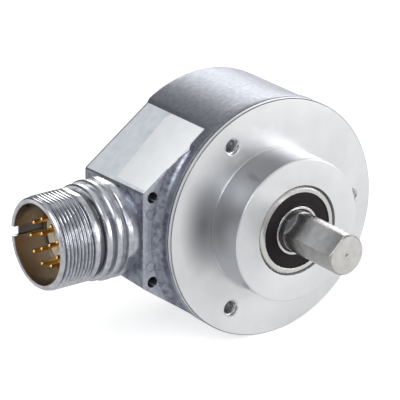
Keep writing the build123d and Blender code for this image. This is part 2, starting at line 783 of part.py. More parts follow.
def board_standoffs():
    """Hexagonal standoffs between the flange back and the board."""
    solids = []
    for x, z in standoff_places():
        plane = Plane((x, FLANGE_BACK_Y, z), z_dir=(0, 1, 0))
        hexagon = plane * RegularPolygon(STANDOFF_AF / 2, 6, major_radius=False)
        body = extrude(hexagon, amount=BOARD_Y - FLANGE_BACK_Y)
        body += disc(BOARD_SCREW_DIA / 2, FLANGE_BACK_Y - BOARD_SCREW_GRIP / 2, FLANGE_BACK_Y, x, z)
        body -= disc(BOARD_SCREW_DIA / 2, BOARD_Y - BOARD_SCREW_GRIP, BOARD_Y, x, z)
        solids.append(body.solid())
    return Compound(solids)


def board_screws():
    """Screws that hold the board on its standoffs."""
    solids = []
    for x, z in standoff_places():
        one = disc(BOARD_SCREW_DIA / 2, BOARD_Y - BOARD_SCREW_GRIP, BOARD_BACK_Y, x, z)
        one += disc(BOARD_SCREW_HEAD_DIA / 2, BOARD_BACK_Y, BOARD_BACK_Y + BOARD_SCREW_HEAD, x, z)
        solids.append(one.solid())
    return Compound(solids)


def main_board():
    """Round circuit board with its screw holes."""
    body = disc(BOARD_R, BOARD_Y, BOARD_BACK_Y)
    for x, z in standoff_places():
        body -= disc(BOARD_SCREW_DIA / 2 + HOLE_PLAY, BOARD_Y, BOARD_BACK_Y, x, z)
    return body


def sensor_chip():
    """Photo sensor on the front of the board, facing the slits."""
    x, z = around(OPTICS_ANGLE, OPTICS_R)
    body = Pos(0, SENSOR_Y + SENSOR_THICK / 2, 0) * Box(SENSOR_LEN, SENSOR_THICK, SENSOR_WIDTH)
    return Pos(x, 0, z) * Rot(0, -OPTICS_ANGLE, 0) * body


def driver_chips():
    """Line drivers and processor on the rear of the board."""
    boxes = []
    for x, z, length, width in CHIP_PLACES:
        boxes.append((Pos(x, BOARD_BACK_Y + CHIP_THICK / 2, z) * Box(length, CHIP_THICK, width)).solid())
    return Compound(boxes)


def board_capacitors():
    """Two round supply capacitors on the rear of the board."""
    top = BOARD_BACK_Y + CAPACITOR_HEIGHT
    return Compound([disc(CAPACITOR_DIA / 2, BOARD_BACK_Y, top, x, z).solid() for x, z in CAPACITOR_PLACES])


def flex_socket():
    """Socket on the rear of the board that takes the flexible circuit."""
    return Pos(SOCKET_X, BOARD_BACK_Y + SOCKET_THICK / 2, 0) * Box(SOCKET_WIDTH, SOCKET_THICK, SOCKET_LEN)


def signal_flex():
    """Flexible circuit from the board socket, through the block, to the terminal board."""
    y = BOARD_BACK_Y + SOCKET_THICK / 2
    start = SOCKET_X - SOCKET_WIDTH / 2
    far = TERMINAL_X + TERMINAL_BOARD_THICK + FLEX_THICK / 2
    path = FilletPolyline((start, y, 0), (far, y, 0), (far, y + FLEX_LEG + FLEX_BEND, 0), radius=FLEX_BEND)
    profile = Plane((start, y, 0), x_dir=(0, 0, 1), z_dir=(-1, 0, 0)) * Rectangle(FLEX_WIDTH, FLEX_THICK)
    return sweep(profile, path=path)


# Connector

def plug_ring(at, length, dia):
    """Raised ring on the connector, measured from its rim, with both edges bevelled."""
    x0 = RIM_X + at
    x1 = x0 + length
    r = dia / 2
    return plug_turned((
        (x0, 0), (x0, r - RING_BEVEL), (x0 + RING_BEVEL, r),
        (x1 - RING_BEVEL, r), (x1, r - RING_BEVEL), (x1, 0),
    ))


def wrench_ring():
    """Hexagonal wrench ring with its corners turned off."""
    plane = Plane((RIM_X + WRENCH_AT, PLUG_Y, 0), x_dir=(0, 1, 0), z_dir=(1, 0, 0))
    hexagon = extrude(plane * RegularPolygon(WRENCH_AF / 2, 6, major_radius=False), amount=WRENCH_LEN)
    return hexagon & plug_ring(WRENCH_AT, WRENCH_LEN, WRENCH_CORNER_DIA)


def plug_outside():
    """Outer form of the shell: threaded mouth, relief, rings, wrench ring, base and nipple."""
    thread_r = PLUG_THREAD_DIA / 2
    core_r = PLUG_CORE_DIA / 2
    end = RIM_X + PLUG_THREAD_LEN
    body = plug_turned((
        (RIM_X, 0), (RIM_X, thread_r - PLUG_RIM_BEVEL), (RIM_X + PLUG_RIM_BEVEL * 2, thread_r),
        (end, thread_r), (end + RING_BEVEL, core_r), (end + RING_BEVEL, 0),
    ))
    body += plug_disc(PLUG_RELIEF_DIA / 2, end, RIM_X + RING_1_AT)
    body += plug_ring(LAND_AT, LAND_LEN, PLUG_THREAD_DIA)
    body += plug_disc(core_r, RIM_X + RING_1_AT, BLOCK_FACE_X)
    body += plug_ring(RING_1_AT, RING_1_LEN, RING_1_DIA)
    body += plug_ring(RING_2_AT, RING_2_LEN, RING_2_DIA)
    body += wrench_ring()
    body += plug_disc(PLUG_BASE_DIA / 2, BLOCK_FACE_X - PLUG_BASE_LEN, BLOCK_FACE_X)
    body += plug_disc(NIPPLE_DIA / 2, BLOCK_FACE_X, NIPPLE_END_X)
    return body


def plug_keyway():
    """Coding slot on the rear side: open through the wall at the rim, then a groove inside."""
    wall_r = MOUTH_DIA / 2 + KEYWAY_WALL
    out = PLUG_THREAD_DIA
    slot = Pos(RIM_X + KEYWAY_OPEN / 2, PLUG_Y + out / 2, 0) * Box(KEYWAY_OPEN, out, KEYWAY_WIDTH)
    groove = Pos(RIM_X + KEYWAY_DEEP / 2, PLUG_Y + wall_r / 2, 0) * Box(KEYWAY_DEEP, wall_r, KEYWAY_WIDTH)
    return slot + groove


def thread_flats():
    """The two flats planed on the thread, above and below."""
    x0 = RIM_X
    length = LAND_AT + LAND_LEN
    cuts = []
    for side in (1, -1):
        z = side * (THREAD_FLAT_HEIGHT / 2 + PLUG_THREAD_DIA / 2)
        cuts.append(Pos(x0 + length / 2, PLUG_Y, z) * Box(length, PLUG_THREAD_DIA, PLUG_THREAD_DIA))
    return cuts


def nipple_groove():
    """Groove on the nipple behind the block face, which its seal fills."""
    bore_r = NIPPLE_DIA / 2 + SPIGOT_FIT
    groove_r = bore_r - NIPPLE_GROOVE_DEPTH
    x0 = BLOCK_FACE_X + NIPPLE_GROOVE_AT
    x1 = x0 + NIPPLE_GROOVE_LEN
    return plug_turned(((x0, groove_r), (x0, bore_r), (x1, bore_r), (x1, groove_r)))


def connector_shell():
    """Die-cast shell of the connector."""
    body = plug_outside()
    body -= plug_disc(MOUTH_DIA / 2, RIM_X, INSERT_X)
    body -= plug_disc(INSERT_DIA / 2, INSERT_X, INSERT_BACK_X)
    body -= plug_disc(SHELL_BACK_DIA / 2, INSERT_BACK_X, NIPPLE_END_X)
    body -= plug_keyway()
    for cut in thread_flats():
        body -= cut
    return body - nipple_groove()


def connector_seal():
    """O-ring between the nipple and the block bore."""
    return nipple_groove()


def pin_places():
    """Offsets (y, z) of the contacts from the connector axis: the outer circle, then the inner one."""
    outer = [around(360 / OUTER_PIN_COUNT * k, OUTER_PIN_RADIUS) for k in range(OUTER_PIN_COUNT)]
    step = 360 / INNER_PIN_COUNT
    inner = [around(INNER_PIN_ANGLE + step * k, INNER_PIN_RADIUS) for k in range(INNER_PIN_COUNT)]
    return outer + inner


def connector_insert():
    """Insulating body that carries the contacts."""
    body = plug_disc(INSERT_DIA / 2, INSERT_X, INSERT_BACK_X)
    for y, z in pin_places():
        body -= plug_disc(PIN_DIA / 2, INSERT_X, INSERT_BACK_X, y, z)
    return body


def connector_pins():
    """Twelve contacts with tapered tips, through the insert to the terminal board."""
    tip = INSERT_X - PIN_PROUD
    r = PIN_DIA / 2
    pin = plug_turned((
        (tip, 0), (tip, r - PIN_TAPER), (tip + PIN_TAPER * 2, r), (TERMINAL_X, r), (TERMINAL_X, 0),
    ))
    return Compound([(Pos(0, y, z) * pin).solid() for y, z in pin_places()])


def terminal_board():
    """Small round board soldered on the ends of the contacts."""
    return plug_disc(TERMINAL_BOARD_DIA / 2, TERMINAL_X, TERMINAL_X + TERMINAL_BOARD_THICK)


def all_nodes():
    """Every node of the encoder by name."""
    front, rear = FRONT_BEARING_Y, REAR_BEARING_Y
    return {
        "front_flange": front_flange(),
        "housing": housing(),
        "housing_seal": housing_seal(),
        "front_bearing_outer_ring": outer_ring(front),
        "front_bearing_inner_ring": inner_ring(front),
        "front_bearing_balls": balls(front),
        "front_bearing_cage": cage(front),
        "front_bearing_seals": seals(front),
        "rear_bearing_outer_ring": outer_ring(rear),
        "rear_bearing_inner_ring": inner_ring(rear),
        "rear_bearing_balls": balls(rear),
        "rear_bearing_cage": cage(rear),
        "rear_bearing_seals": seals(rear),
        "preload_spring": preload_spring(),
        "shaft": shaft(),
        "shaft_clip": shaft_clip(),
        "disc_hub": disc_hub(),
        "code_disc": code_disc(),
        "disc_clamp_ring": disc_clamp_ring(),
        "disc_screws": disc_screws(),
        "light_holder": light_holder(),
        "light_source": light_source(),
        "sensor_chip": sensor_chip(),
        "main_board": main_board(),
        "board_standoffs": board_standoffs(),
        "board_screws": board_screws(),
        "driver_chips": driver_chips(),
        "board_capacitors": board_capacitors(),
        "flex_socket": flex_socket(),
        "signal_flex": signal_flex(),
        "connector_shell": connector_shell(),
        "connector_seal": connector_seal(),
        "connector_insert": connector_insert(),
        "connector_pins": connector_pins(),
        "terminal_board": terminal_board(),
    }


os.makedirs("parts", exist_ok=True)
for name, shape in all_nodes().items():
    export_step(shape, f"parts/{name}.step")
    print(name, len(shape.solids()), round(shape.volume, 2))
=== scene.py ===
"""Visual model of an incremental rotary encoder with a clamping flange and a round connector.

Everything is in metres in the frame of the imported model: the origin is the centre of the
mounting face, the shaft points to -Y, the connector to -X and +Z is up. Sizes in the classes
are millimetres, as they are on a drawing, and are turned into metres when a mesh is made.
"""

import logging
import math
from dataclasses import dataclass, field
from enum import Enum
from typing import Iterable, Optional, Sequence

import bmesh
import bpy
import numpy as np
from mathutils import Matrix, Vector


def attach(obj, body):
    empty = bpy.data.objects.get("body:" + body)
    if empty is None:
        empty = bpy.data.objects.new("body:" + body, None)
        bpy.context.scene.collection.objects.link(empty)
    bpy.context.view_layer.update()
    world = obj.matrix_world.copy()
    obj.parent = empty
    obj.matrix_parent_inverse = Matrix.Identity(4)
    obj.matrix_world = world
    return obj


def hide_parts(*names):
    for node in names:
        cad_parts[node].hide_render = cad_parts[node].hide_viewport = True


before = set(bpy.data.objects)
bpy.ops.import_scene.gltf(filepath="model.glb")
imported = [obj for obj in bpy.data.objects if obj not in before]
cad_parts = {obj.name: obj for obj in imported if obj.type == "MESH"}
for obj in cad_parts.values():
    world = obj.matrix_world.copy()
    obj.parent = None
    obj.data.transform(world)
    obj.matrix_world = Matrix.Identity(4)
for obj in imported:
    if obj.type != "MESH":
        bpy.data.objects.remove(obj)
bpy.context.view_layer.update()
MM = 0.001
STATOR = "stator"
ROTOR = "rotor"

LOG = logging.getLogger("encoder")

# A quarter turn: the highlight runs across the tool marks
ACROSS_MARKS = 0.25
# Range of a noise factor that is spread over the whole mottle
MOTTLE = (0.33, 0.67)
WEAR_CELLS = 0.35
# Share of a shaded place that is fully dark, and its tone against the finish's dark colour
SHADE_CORE = 0.1
SHADE_TONE = 0.42
# Anything shorter is taken for zero
TINY = 1e-9

Point = tuple[float, float]
Colour = tuple[float, float, float]


class Lay(Enum):
    """How the tool marks of a finish run."""

    NONE = 0
    SHAFT_TURNED = 1
    ALONG_SHAFT = 2


# Node trees of the finishes


class Shader:
    """A material's node tree, with short calls for the nodes that the finishes share."""

    def __init__(self, name: str) -> None:
        """Make an empty material.

        Args:
            name: Name of the material.
        """
        self.material = bpy.data.materials.new(name)
        self.material.use_nodes = True
        self.tree = self.material.node_tree
        self.tree.nodes.clear()
        self.output = self.add("ShaderNodeOutputMaterial")
        self.bsdf = self.add("ShaderNodeBsdfPrincipled")
        self.link(self.bsdf.outputs["BSDF"], self.output.inputs["Surface"])
        self.coords = self.scaled_coords()

    def add(self, kind: str, **settings: object) -> bpy.types.Node:
        """Add a node and set its properties.

        Args:
            kind: Blender's type name of the node.
            **settings: Properties of the node.

        Returns:
            The new node.
        """
        node = self.tree.nodes.new(kind)
        for key, value in settings.items():
            setattr(node, key, value)
        return node

    def link(self, source: bpy.types.NodeSocket, target: bpy.types.NodeSocket) -> None:
        """Join two sockets."""
        self.tree.links.new(source, target)

    def feed(self, socket: bpy.types.NodeSocket, value: object) -> None:
        """Set a socket from a constant or link it to another socket.

        Args:
            socket: Input to feed.
            value: Number, vector or output socket.
        """
        if isinstance(value, bpy.types.NodeSocket):
            self.link(value, socket)
        else:
            socket.default_value = value

    def scaled_coords(self) -> bpy.types.NodeSocket:
        """Return the object coordinates in millimetres."""
        source = self.add("ShaderNodeTexCoord")
        scale = self.add("ShaderNodeMapping")
        scale.inputs["Scale"].default_value = (1000.0, 1000.0, 1000.0)
        self.link(source.outputs["Object"], scale.inputs["Vector"])
        return scale.outputs["Vector"]

    def math(self, operation: str, *values: object) -> bpy.types.NodeSocket:
        """Add a math node.

        Args:
            operation: Blender's name of the operation.
            *values: Numbers or sockets, in order.

        Returns:
            The node's output.
        """
        node = self.add("ShaderNodeMath", operation=operation)
        for socket, value in zip(node.inputs, values):
            self.feed(socket, value)
        return node.outputs[0]

    def split(self, vector: bpy.types.NodeSocket) -> list[bpy.types.NodeSocket]:
        """Return the X, Y and Z outputs of a vector."""
        node = self.add("ShaderNodeSeparateXYZ")
        self.link(vector, node.inputs[0])
        return list(node.outputs)

    def join(self, x: object, y: object, z: object) -> bpy.types.NodeSocket:
        """Return a vector made of three numbers or sockets."""
        node = self.add("ShaderNodeCombineXYZ")
        for socket, value in zip(node.inputs, (x, y, z)):
            self.feed(socket, value)
        return node.outputs[0]

    def noise(self, vector: bpy.types.NodeSocket, scale: float, detail: float = 2.0,
              rough: float = 0.5) -> bpy.types.NodeSocket:
        """Add a noise texture.

        Args:
            vector: Coordinates.
            scale: Cells for each millimetre.
            detail: Octaves.
            rough: Weight of the finer octaves.

        Returns:
            The noise factor, about 0.3 to 0.7.
        """
        node = self.add("ShaderNodeTexNoise")
        self.link(vector, node.inputs["Vector"])
        node.inputs["Scale"].default_value = scale
        node.inputs["Detail"].default_value = detail
        node.inputs["Roughness"].default_value = rough
        return node.outputs[0]

    def spread(self, factor: bpy.types.NodeSocket, low: float, high: float, out_low: float,
               out_high: float) -> bpy.types.NodeSocket:
        """Map a range of a factor to another range.

        Args:
            factor: Socket to map.
            low: Start of its range.
            high: End of its range.
            out_low: Result at the start.
            out_high: Result at the end.

        Returns:
            The mapped, clamped socket.
        """
        node = self.add("ShaderNodeMapRange")
        self.link(factor, node.inputs["Value"])
        for name, value in (("From Min", low), ("From Max", high), ("To Min", out_low), ("To Max", out_high)):
            node.inputs[name].default_value = value
        return node.outputs[0]

    def blend(self, factor: object, first: object, second: object) -> bpy.types.NodeSocket:
        """Mix two colours.

        Args:
            factor: Share of the second colour.
            first: Colour or socket at 0.
            second: Colour or socket at 1.

        Returns:
            The mixed colour.
        """
        node = self.add("ShaderNodeMix", data_type="RGBA")
        self.feed(node.inputs["Factor"], factor)
        for name, value in (("A", first), ("B", second)):
            socket = [s for s in node.inputs if s.name == name and s.type == "RGBA"][0]
            self.feed(socket, value)
        return [s for s in node.outputs if s.type == "RGBA"][0]

    def distance(self, place: Sequence[float], stretch: Sequence[float]) -> bpy.types.NodeSocket:
        """Measure the distance from a place, each axis stretched first.

        Args:
            place: The place in millimetres.
            stretch: Factor for each axis; 0 leaves the axis out.

        Returns:
            The distance.
        """
        shift = self.add("ShaderNodeMapping")
        shift.inputs["Scale"].default_value = stretch
        shift.inputs["Location"].default_value = [-p * q for p, q in zip(place, stretch)]
        self.link(self.coords, shift.inputs["Vector"])
        length = self.add("ShaderNodeVectorMath", operation="LENGTH")
        self.link(shift.outputs["Vector"], length.inputs[0])
        return length.outputs["Value"]

    def bump(self, height: bpy.types.NodeSocket, depth_mm: float,
             below: Optional[bpy.types.NodeSocket] = None) -> bpy.types.NodeSocket:
        """Add a bump from a height of 0 to 1.

        Args:
            height: Height factor.
            depth_mm: Height of a factor of 1.
            below: Normal of a coarser bump under this one.

        Returns:
            The bumped normal.
        """
        node = self.add("ShaderNodeBump")
        node.inputs["Strength"].default_value = 1.0
        node.inputs["Distance"].default_value = depth_mm * MM
        self.link(height, node.inputs["Height"])
        if below is not None:
            self.link(below, node.inputs["Normal"])
        return node.outputs[0]


def lay_coords(shader: Shader, lay: Lay) -> tuple[Optional[bpy.types.NodeSocket], object]:
    """Coordinates that are constant along the tool marks, and the direction of the marks.

    Args:
        shader: Tree to build in.
        lay: How the marks run.

    Returns:
        The coordinate across the marks and their tangent, both None where there are none.
    """
    x, y, z = shader.split(shader.coords)[:3]
    if lay is Lay.SHAFT_TURNED:
        radius = shader.distance((0.0, 0.0, 0.0), (1.0, 0.0, 1.0))
        return shader.join(radius, y, 0.0), shader.join(z, 0.0, shader.math("MULTIPLY", x, -1.0))
    if lay is Lay.ALONG_SHAFT:
        return shader.join(x, 0.0, z), shader.join(0.0, 1.0, 0.0)
    return None, None


@dataclass(frozen=True)
class PlugPaint:
    """Tones of the connector that are set by place, in millimetres from the frame's origin.

    Painted shade darkens the grooves between two radii about the connector axis; it stops at a
    place along X, so the rim stays bright. The inside is painted a darker brown, and the flat on
    top gets a painted highlight.
    """

    axis: tuple[float, float, float] = (0.0, 18.5, 0.0)
    groove: Point = (10.75, 11.2)
    groove_shade_share: float = 0.85
    groove_shade_tone: float = 0.3
    rim: Point = (-54.95, -54.7)
    inside: Point = (10.0, 10.1)
    inside_colour: Colour = (0.34, 0.285, 0.24)
    flat: Point = (9.7, 10.5)
    top_highlight_share: float = 0.8
    top_highlight_colour: Colour = (0.84, 0.86, 0.90)

    def apply(self, shader: Shader, crest: bpy.types.NodeSocket, dark: Colour) -> bpy.types.NodeSocket:
        """Paint shade into the grooves short of the rim, the inside darker brown and a highlight on the flat.

        Args:
            shader: Tree to build in.
            crest: Colour of the crests.
            dark: Dark colour of the finish.

        Returns:
            The painted colour.
        """
        radius = shader.distance(self.axis, (0.0, 1.0, 1.0))
        x, _, z = shader.split(shader.coords)[:3]
        # Painted shade in the thread grooves, lifted again near the rim
        groove = tuple(c * self.groove_shade_tone for c in dark)
        share = shader.spread(radius, *self.groove, self.groove_shade_share, 0.0)
        deep = shader.blend(share, crest, (*groove, 1.0))
        colour = shader.blend(shader.spread(x, *self.rim, 1.0, 0.0), deep, crest)
        inside = shader.spread(radius, *self.inside, 1.0, 0.0)
        colour = shader.blend(inside, colour, (*self.inside_colour, 1.0))
        # Painted highlight on the top of the connector, where the flat is
        flat = shader.spread(z, *self.flat, 0.0, self.top_highlight_share)
        return shader.blend(flat, colour, (*self.top_highlight_colour, 1.0))


@dataclass(frozen=True)
class MetalFinish:
    """A metal surface with mottling, grain and tool marks.

    The colour runs between dark and light with a mottle of the given size, the grain is a fine
    bump, and the marks are fine lines along the lay.
    """

    name: str
    dark: Colour
    light: Colour
    rough: tuple[float, float] = (0.3, 0.4)
    metallic: float = 1.0
    mottle_mm: float = 4.0
    grain_mm: float = 0.0
    grain_depth: float = 0.0
    lump_mm: float = 0.0
    lump_depth: float = 0.0
    lay: Lay = Lay.NONE
    mark_mm: float = 0.15
    mark_depth: float = 0.0
    anisotropic: float = 0.0
    shade: float = 0.0
    shade_at: tuple[float, float, float] = (0.0, 0.0, 0.0)
    shade_stretch: tuple[float, float, float] = (1.0, 1.0, 1.0)
    paint: Optional[PlugPaint] = None

    def shaded(self, shader: Shader, colour: bpy.types.NodeSocket) -> bpy.types.NodeSocket:
        """Darken the colour softly round one place.

        It stands for a dark reflection in the photograph, so it stays where it is under other light.

        Args:
            shader: Tree to build in.
            colour: Colour to darken.

        Returns:
            The darkened colour.
        """
        length = shader.distance(self.shade_at, self.shade_stretch)
        near = shader.spread(length, SHADE_CORE, 1.0, self.shade, 0.0)
        dark = tuple(c * SHADE_TONE for c in self.dark)
        return shader.blend(near, colour, (*dark, 1.0))

    def material(self) -> bpy.types.Material:
        """Build the node tree.

        Returns:
            The material.
        """
        shader = Shader(self.name)
        bsdf = shader.bsdf
        bsdf.inputs["Metallic"].default_value = self.metallic
        bsdf.inputs["Anisotropic"].default_value = self.anisotropic
        bsdf.inputs["Anisotropic Rotation"].default_value = ACROSS_MARKS
        mottle = shader.noise(shader.coords, 1.0 / self.mottle_mm, 4.0, 0.6)
        tone = shader.spread(mottle, *MOTTLE, 0.0, 1.0)
        colour = shader.blend(tone, (*self.dark, 1.0), (*self.light, 1.0))
        if self.shade > 0.0:
            colour = self.shaded(shader, colour)
        if self.paint is not None:
            colour = self.paint.apply(shader, colour, self.dark)
        shader.link(colour, bsdf.inputs["Base Color"])
        across, tangent = lay_coords(shader, self.lay)
        if tangent is not None and self.anisotropic > 0.0:
            shader.link(tangent, bsdf.inputs["Tangent"])
        wear = shader.noise(shader.coords, WEAR_CELLS, 3.0, 0.6)
        shader.link(shader.spread(wear, 0.3, 0.7, *self.rough), bsdf.inputs["Roughness"])
        normal = None
        if self.lump_depth > 0.0:
            lumps = shader.noise(shader.coords, 1.0 / self.lump_mm, 2.0)
            normal = shader.bump(lumps, self.lump_depth)
        if self.grain_depth > 0.0:
            grain = shader.noise(shader.coords, 1.0 / self.grain_mm, 3.0, 0.6)
            normal = shader.bump(grain, self.grain_depth, below=normal)
        if across is not None and self.mark_depth > 0.0:
            marks = shader.noise(across, 1.0 / self.mark_mm, 2.0, 0.7)
            normal = shader.bump(marks, self.mark_depth, below=normal)
        if normal is not None:
            shader.link(normal, bsdf.inputs["Normal"])
        return shader.material


@dataclass(frozen=True)
class PlasticFinish:
    """A moulded, rubber or board surface with a fine grain."""

    name: str
    dark: Colour
    light: Colour
    rough: tuple[float, float] = (0.4, 0.5)
    mottle_mm: float = 3.0
    grain_mm: float = 0.4
    grain_depth: float = 0.01
    clear: float = 0.0
    gloss: float = 0.5

    def material(self) -> bpy.types.Material:
        """Build the node tree.

        Returns:
            The material.
        """
        shader = Shader(self.name)
        bsdf = shader.bsdf
        tone = shader.spread(shader.noise(shader.coords, 1.0 / self.mottle_mm, 3.0), 0.35, 0.65, 0.0, 1.0)
        shader.link(shader.blend(tone, (*self.dark, 1.0), (*self.light, 1.0)), bsdf.inputs["Base Color"])
        shader.link(shader.spread(tone, 0.0, 1.0, *self.rough), bsdf.inputs["Roughness"])
        bsdf.inputs["Specular IOR Level"].default_value = self.gloss
        bsdf.inputs["Transmission Weight"].default_value = self.clear
        grain = shader.noise(shader.coords, 1.0 / self.grain_mm, 2.0)
        shader.link(shader.bump(grain, self.grain_depth), bsdf.inputs["Normal"])
        return shader.material


@dataclass(frozen=True)
class Finishes:
    """Every finish of the encoder, by the part it is on."""

    # The flange's shade is a painted dark reflection on the face, left of the collar
    flange: MetalFinish = MetalFinish(
        "turned_flange", (0.77, 0.78, 0.79), (0.85, 0.855, 0.86), rough=(0.36, 0.42), mottle_mm=14.0,
        grain_mm=0.4, grain_depth=0.003, lay=Lay.SHAFT_TURNED, mark_mm=0.12, mark_depth=0.0015,
        anisotropic=0.15, shade=1.0, shade_at=(-20.5, 0.0, 2.5), shade_stretch=(0.14, 0.14, 0.075))
    # The collar's side: a darker copy of the flange's turned finish as painted shade, with a painted dark
    # reflection at its top
    collar: MetalFinish = MetalFinish(
        "turned_collar_painted_shade", (0.54, 0.55, 0.58), (0.58, 0.59, 0.62), rough=(0.33, 0.34), mottle_mm=9.0,
        shade=0.75, shade_at=(-3.0, -5.0, 17.5), shade_stretch=(0.08, 0.05, 0.12))
    rim: MetalFinish = MetalFinish(
        "turned_rim_edge", (0.86, 0.87, 0.88), (0.92, 0.93, 0.94), rough=(0.42, 0.50), metallic=0.4,
        mottle_mm=6.0, grain_mm=0.3, grain_depth=0.002)
    casting: MetalFinish = MetalFinish(
        "zinc_casting", (0.36, 0.38, 0.44), (0.50, 0.52, 0.58), rough=(0.39, 0.43), mottle_mm=1.1,
        grain_mm=0.35, grain_depth=0.012, lump_mm=1.2, lump_depth=0.008)
    # Darker copy of the casting, painted shade on the block's outer face and in the lip's root
    root: MetalFinish = MetalFinish(
        "cast_painted_shade", (0.16, 0.17, 0.21), (0.36, 0.38, 0.44), rough=(0.34, 0.46), mottle_mm=1.4,
        grain_mm=0.35, grain_depth=0.015, lump_mm=1.2, lump_depth=0.03)
    slope: MetalFinish = MetalFinish(
        "blasted_slope", (0.76, 0.80, 0.86), (0.88, 0.91, 0.95), rough=(0.50, 0.62), metallic=0.3,
        mottle_mm=2.6, grain_mm=0.3, grain_depth=0.02)
    pad: MetalFinish = MetalFinish(
        "blasted_pad", (0.92, 0.94, 0.96), (0.97, 0.98, 0.99), rough=(0.50, 0.60), metallic=0.2,
        mottle_mm=3.5, grain_mm=0.25, grain_depth=0.01)
    plug: MetalFinish = MetalFinish(
        "nickel_casting", (0.44, 0.45, 0.49), (0.64, 0.65, 0.69), rough=(0.26, 0.32), mottle_mm=1.5,
        grain_mm=0.5, grain_depth=0.002, paint=PlugPaint())
    shaft: MetalFinish = MetalFinish(
        "ground_shaft", (0.38, 0.375, 0.37), (0.48, 0.47, 0.46), rough=(0.24, 0.32), mottle_mm=3.0,
        lay=Lay.SHAFT_TURNED, mark_mm=0.25, mark_depth=0.001, anisotropic=0.3)
    shaft_face: MetalFinish = MetalFinish(
        "faced_shaft_end", (0.60, 0.59, 0.575), (0.72, 0.71, 0.69), rough=(0.30, 0.38), mottle_mm=2.0,
        lay=Lay.SHAFT_TURNED, mark_mm=0.45, mark_depth=0.012)
    flat: MetalFinish = MetalFinish(
        "milled_flat", (0.58, 0.58, 0.58), (0.72, 0.72, 0.72), rough=(0.20, 0.28), mottle_mm=1.3,
        lay=Lay.ALONG_SHAFT, mark_mm=0.2, mark_depth=0.0012, anisotropic=0.2)
    ring: MetalFinish = MetalFinish(
        "ground_bearing_ring", (0.66, 0.655, 0.64), (0.76, 0.755, 0.74), rough=(0.24, 0.30), mottle_mm=5.0,
        lay=Lay.SHAFT_TURNED, mark_mm=0.2, mark_depth=0.0006)
    ball: MetalFinish = MetalFinish(
        "polished_ball", (0.76, 0.76, 0.77), (0.80, 0.80, 0.81), rough=(0.06, 0.10))
    # Dark phosphate of the springs; also painted shade on the flange's fine bevels, the shaft's relief neck
    # and the bearing ring's bore edge
    dark_steel_and_shade: MetalFinish = MetalFinish(
        "phosphated_spring_and_painted_shade", (0.20, 0.20, 0.21), (0.27, 0.27, 0.28), rough=(0.35, 0.45), grain_mm=0.2,
        grain_depth=0.01)
    zinced: MetalFinish = MetalFinish(
        "zinc_plated_screw", (0.60, 0.60, 0.62), (0.70, 0.70, 0.72), rough=(0.25, 0.35), grain_mm=0.2,
        grain_depth=0.005)
    brass: MetalFinish = MetalFinish(
        "turned_brass", (0.70, 0.52, 0.24), (0.80, 0.62, 0.32), rough=(0.22, 0.32), lay=Lay.SHAFT_TURNED,
        mark_depth=0.004, anisotropic=0.3)
    nickel: MetalFinish = MetalFinish(
        "etched_nickel_sheet", (0.64, 0.63, 0.60), (0.70, 0.69, 0.66), rough=(0.18, 0.26))
    gold: MetalFinish = MetalFinish(
        "gold_plating", (0.86, 0.52, 0.13), (0.98, 0.66, 0.22), rough=(0.16, 0.26), mottle_mm=0.8)
    rubber: PlasticFinish = PlasticFinish(
        "seal_rubber", (0.010, 0.007, 0.009), (0.017, 0.012, 0.015), rough=(0.48, 0.58),
        grain_depth=0.004, gloss=0.2)
    insert: PlasticFinish = PlasticFinish(
        "cream_insert", (0.86, 0.81, 0.68), (0.92, 0.88, 0.77), rough=(0.38, 0.48))
    polyamide: PlasticFinish = PlasticFinish(
        "natural_polyamide", (0.70, 0.64, 0.50), (0.78, 0.72, 0.60))
    black: PlasticFinish = PlasticFinish(
        "black_moulding", (0.018, 0.018, 0.019), (0.030, 0.030, 0.032), rough=(0.38, 0.5))
    chip: PlasticFinish = PlasticFinish(
        "chip_epoxy", (0.022, 0.022, 0.024), (0.034, 0.034, 0.036), rough=(0.45, 0.6), grain_mm=0.12)
    board: PlasticFinish = PlasticFinish(
        "green_solder_mask", (0.012, 0.11, 0.045), (0.020, 0.15, 0.065), rough=(0.22, 0.30), mottle_mm=1.5)
    film: PlasticFinish = PlasticFinish(
        "amber_film", (0.42, 0.20, 0.03), (0.52, 0.27, 0.05), rough=(0.2, 0.3))
    lens: PlasticFinish = PlasticFinish(
        "clear_lens", (0.86, 0.88, 0.92), (0.92, 0.94, 0.97), rough=(0.04, 0.08), grain_depth=0.001,
        clear=0.9)


# Mesh building


def arc_corner(before: Point, corner: Point, after: Point, radius: float, steps: int = 5) -> list[Point]:
    """Round one corner of an outline.

    Args:
        before: Point before the corner.
        corner: The corner.
        after: Point after it.
        radius: Radius of the round.
        steps: Number of chords.

    Returns:
        Points along the round.
    """
    c = np.array(corner, float)
    u = np.array(before, float) - c
    v = np.array(after, float) - c
    lu, lv = np.linalg.norm(u), np.linalg.norm(v)
    u, v = u / lu, v / lv
    half = math.acos(max(-1.0, min(1.0, float(u @ v)))) / 2
    cut = min(radius / math.tan(half), 0.49 * lu, 0.49 * lv)
    r = cut * math.tan(half)
    middle = c + (u + v) / np.linalg.norm(u + v) * (r / math.sin(half))
    start, end = c + u * cut - middle, c + v * cut - middle
    a0 = math.atan2(start[1], start[0])
    turn = (math.atan2(end[1], end[0]) - a0 + math.pi) % (2 * math.pi) - math.pi
    angles = [a0 + turn * k / steps for k in range(steps + 1)]
    return [(float(middle[0] + r * math.cos(a)), float(middle[1] + r * math.sin(a))) for a in angles]


def soften(points: Sequence[Point], radius: float, sharp: Iterable[int] = ()) -> list[Point]:
    """Round every corner of an open outline except its ends and the ones named.

    Args:
        points: Corners of the outline.
        radius: Radius of the rounds.
        sharp: Indices of the corners that stay.

    Returns:
        The softened outline.
    """
    keep = set(sharp) | {0, len(points) - 1}
    result: list[Point] = []
    for k, point in enumerate(points):
        if k in keep:
            result.append(point)
        else:
            result.extend(arc_corner(points[k - 1], point, points[k + 1], radius))
    return result


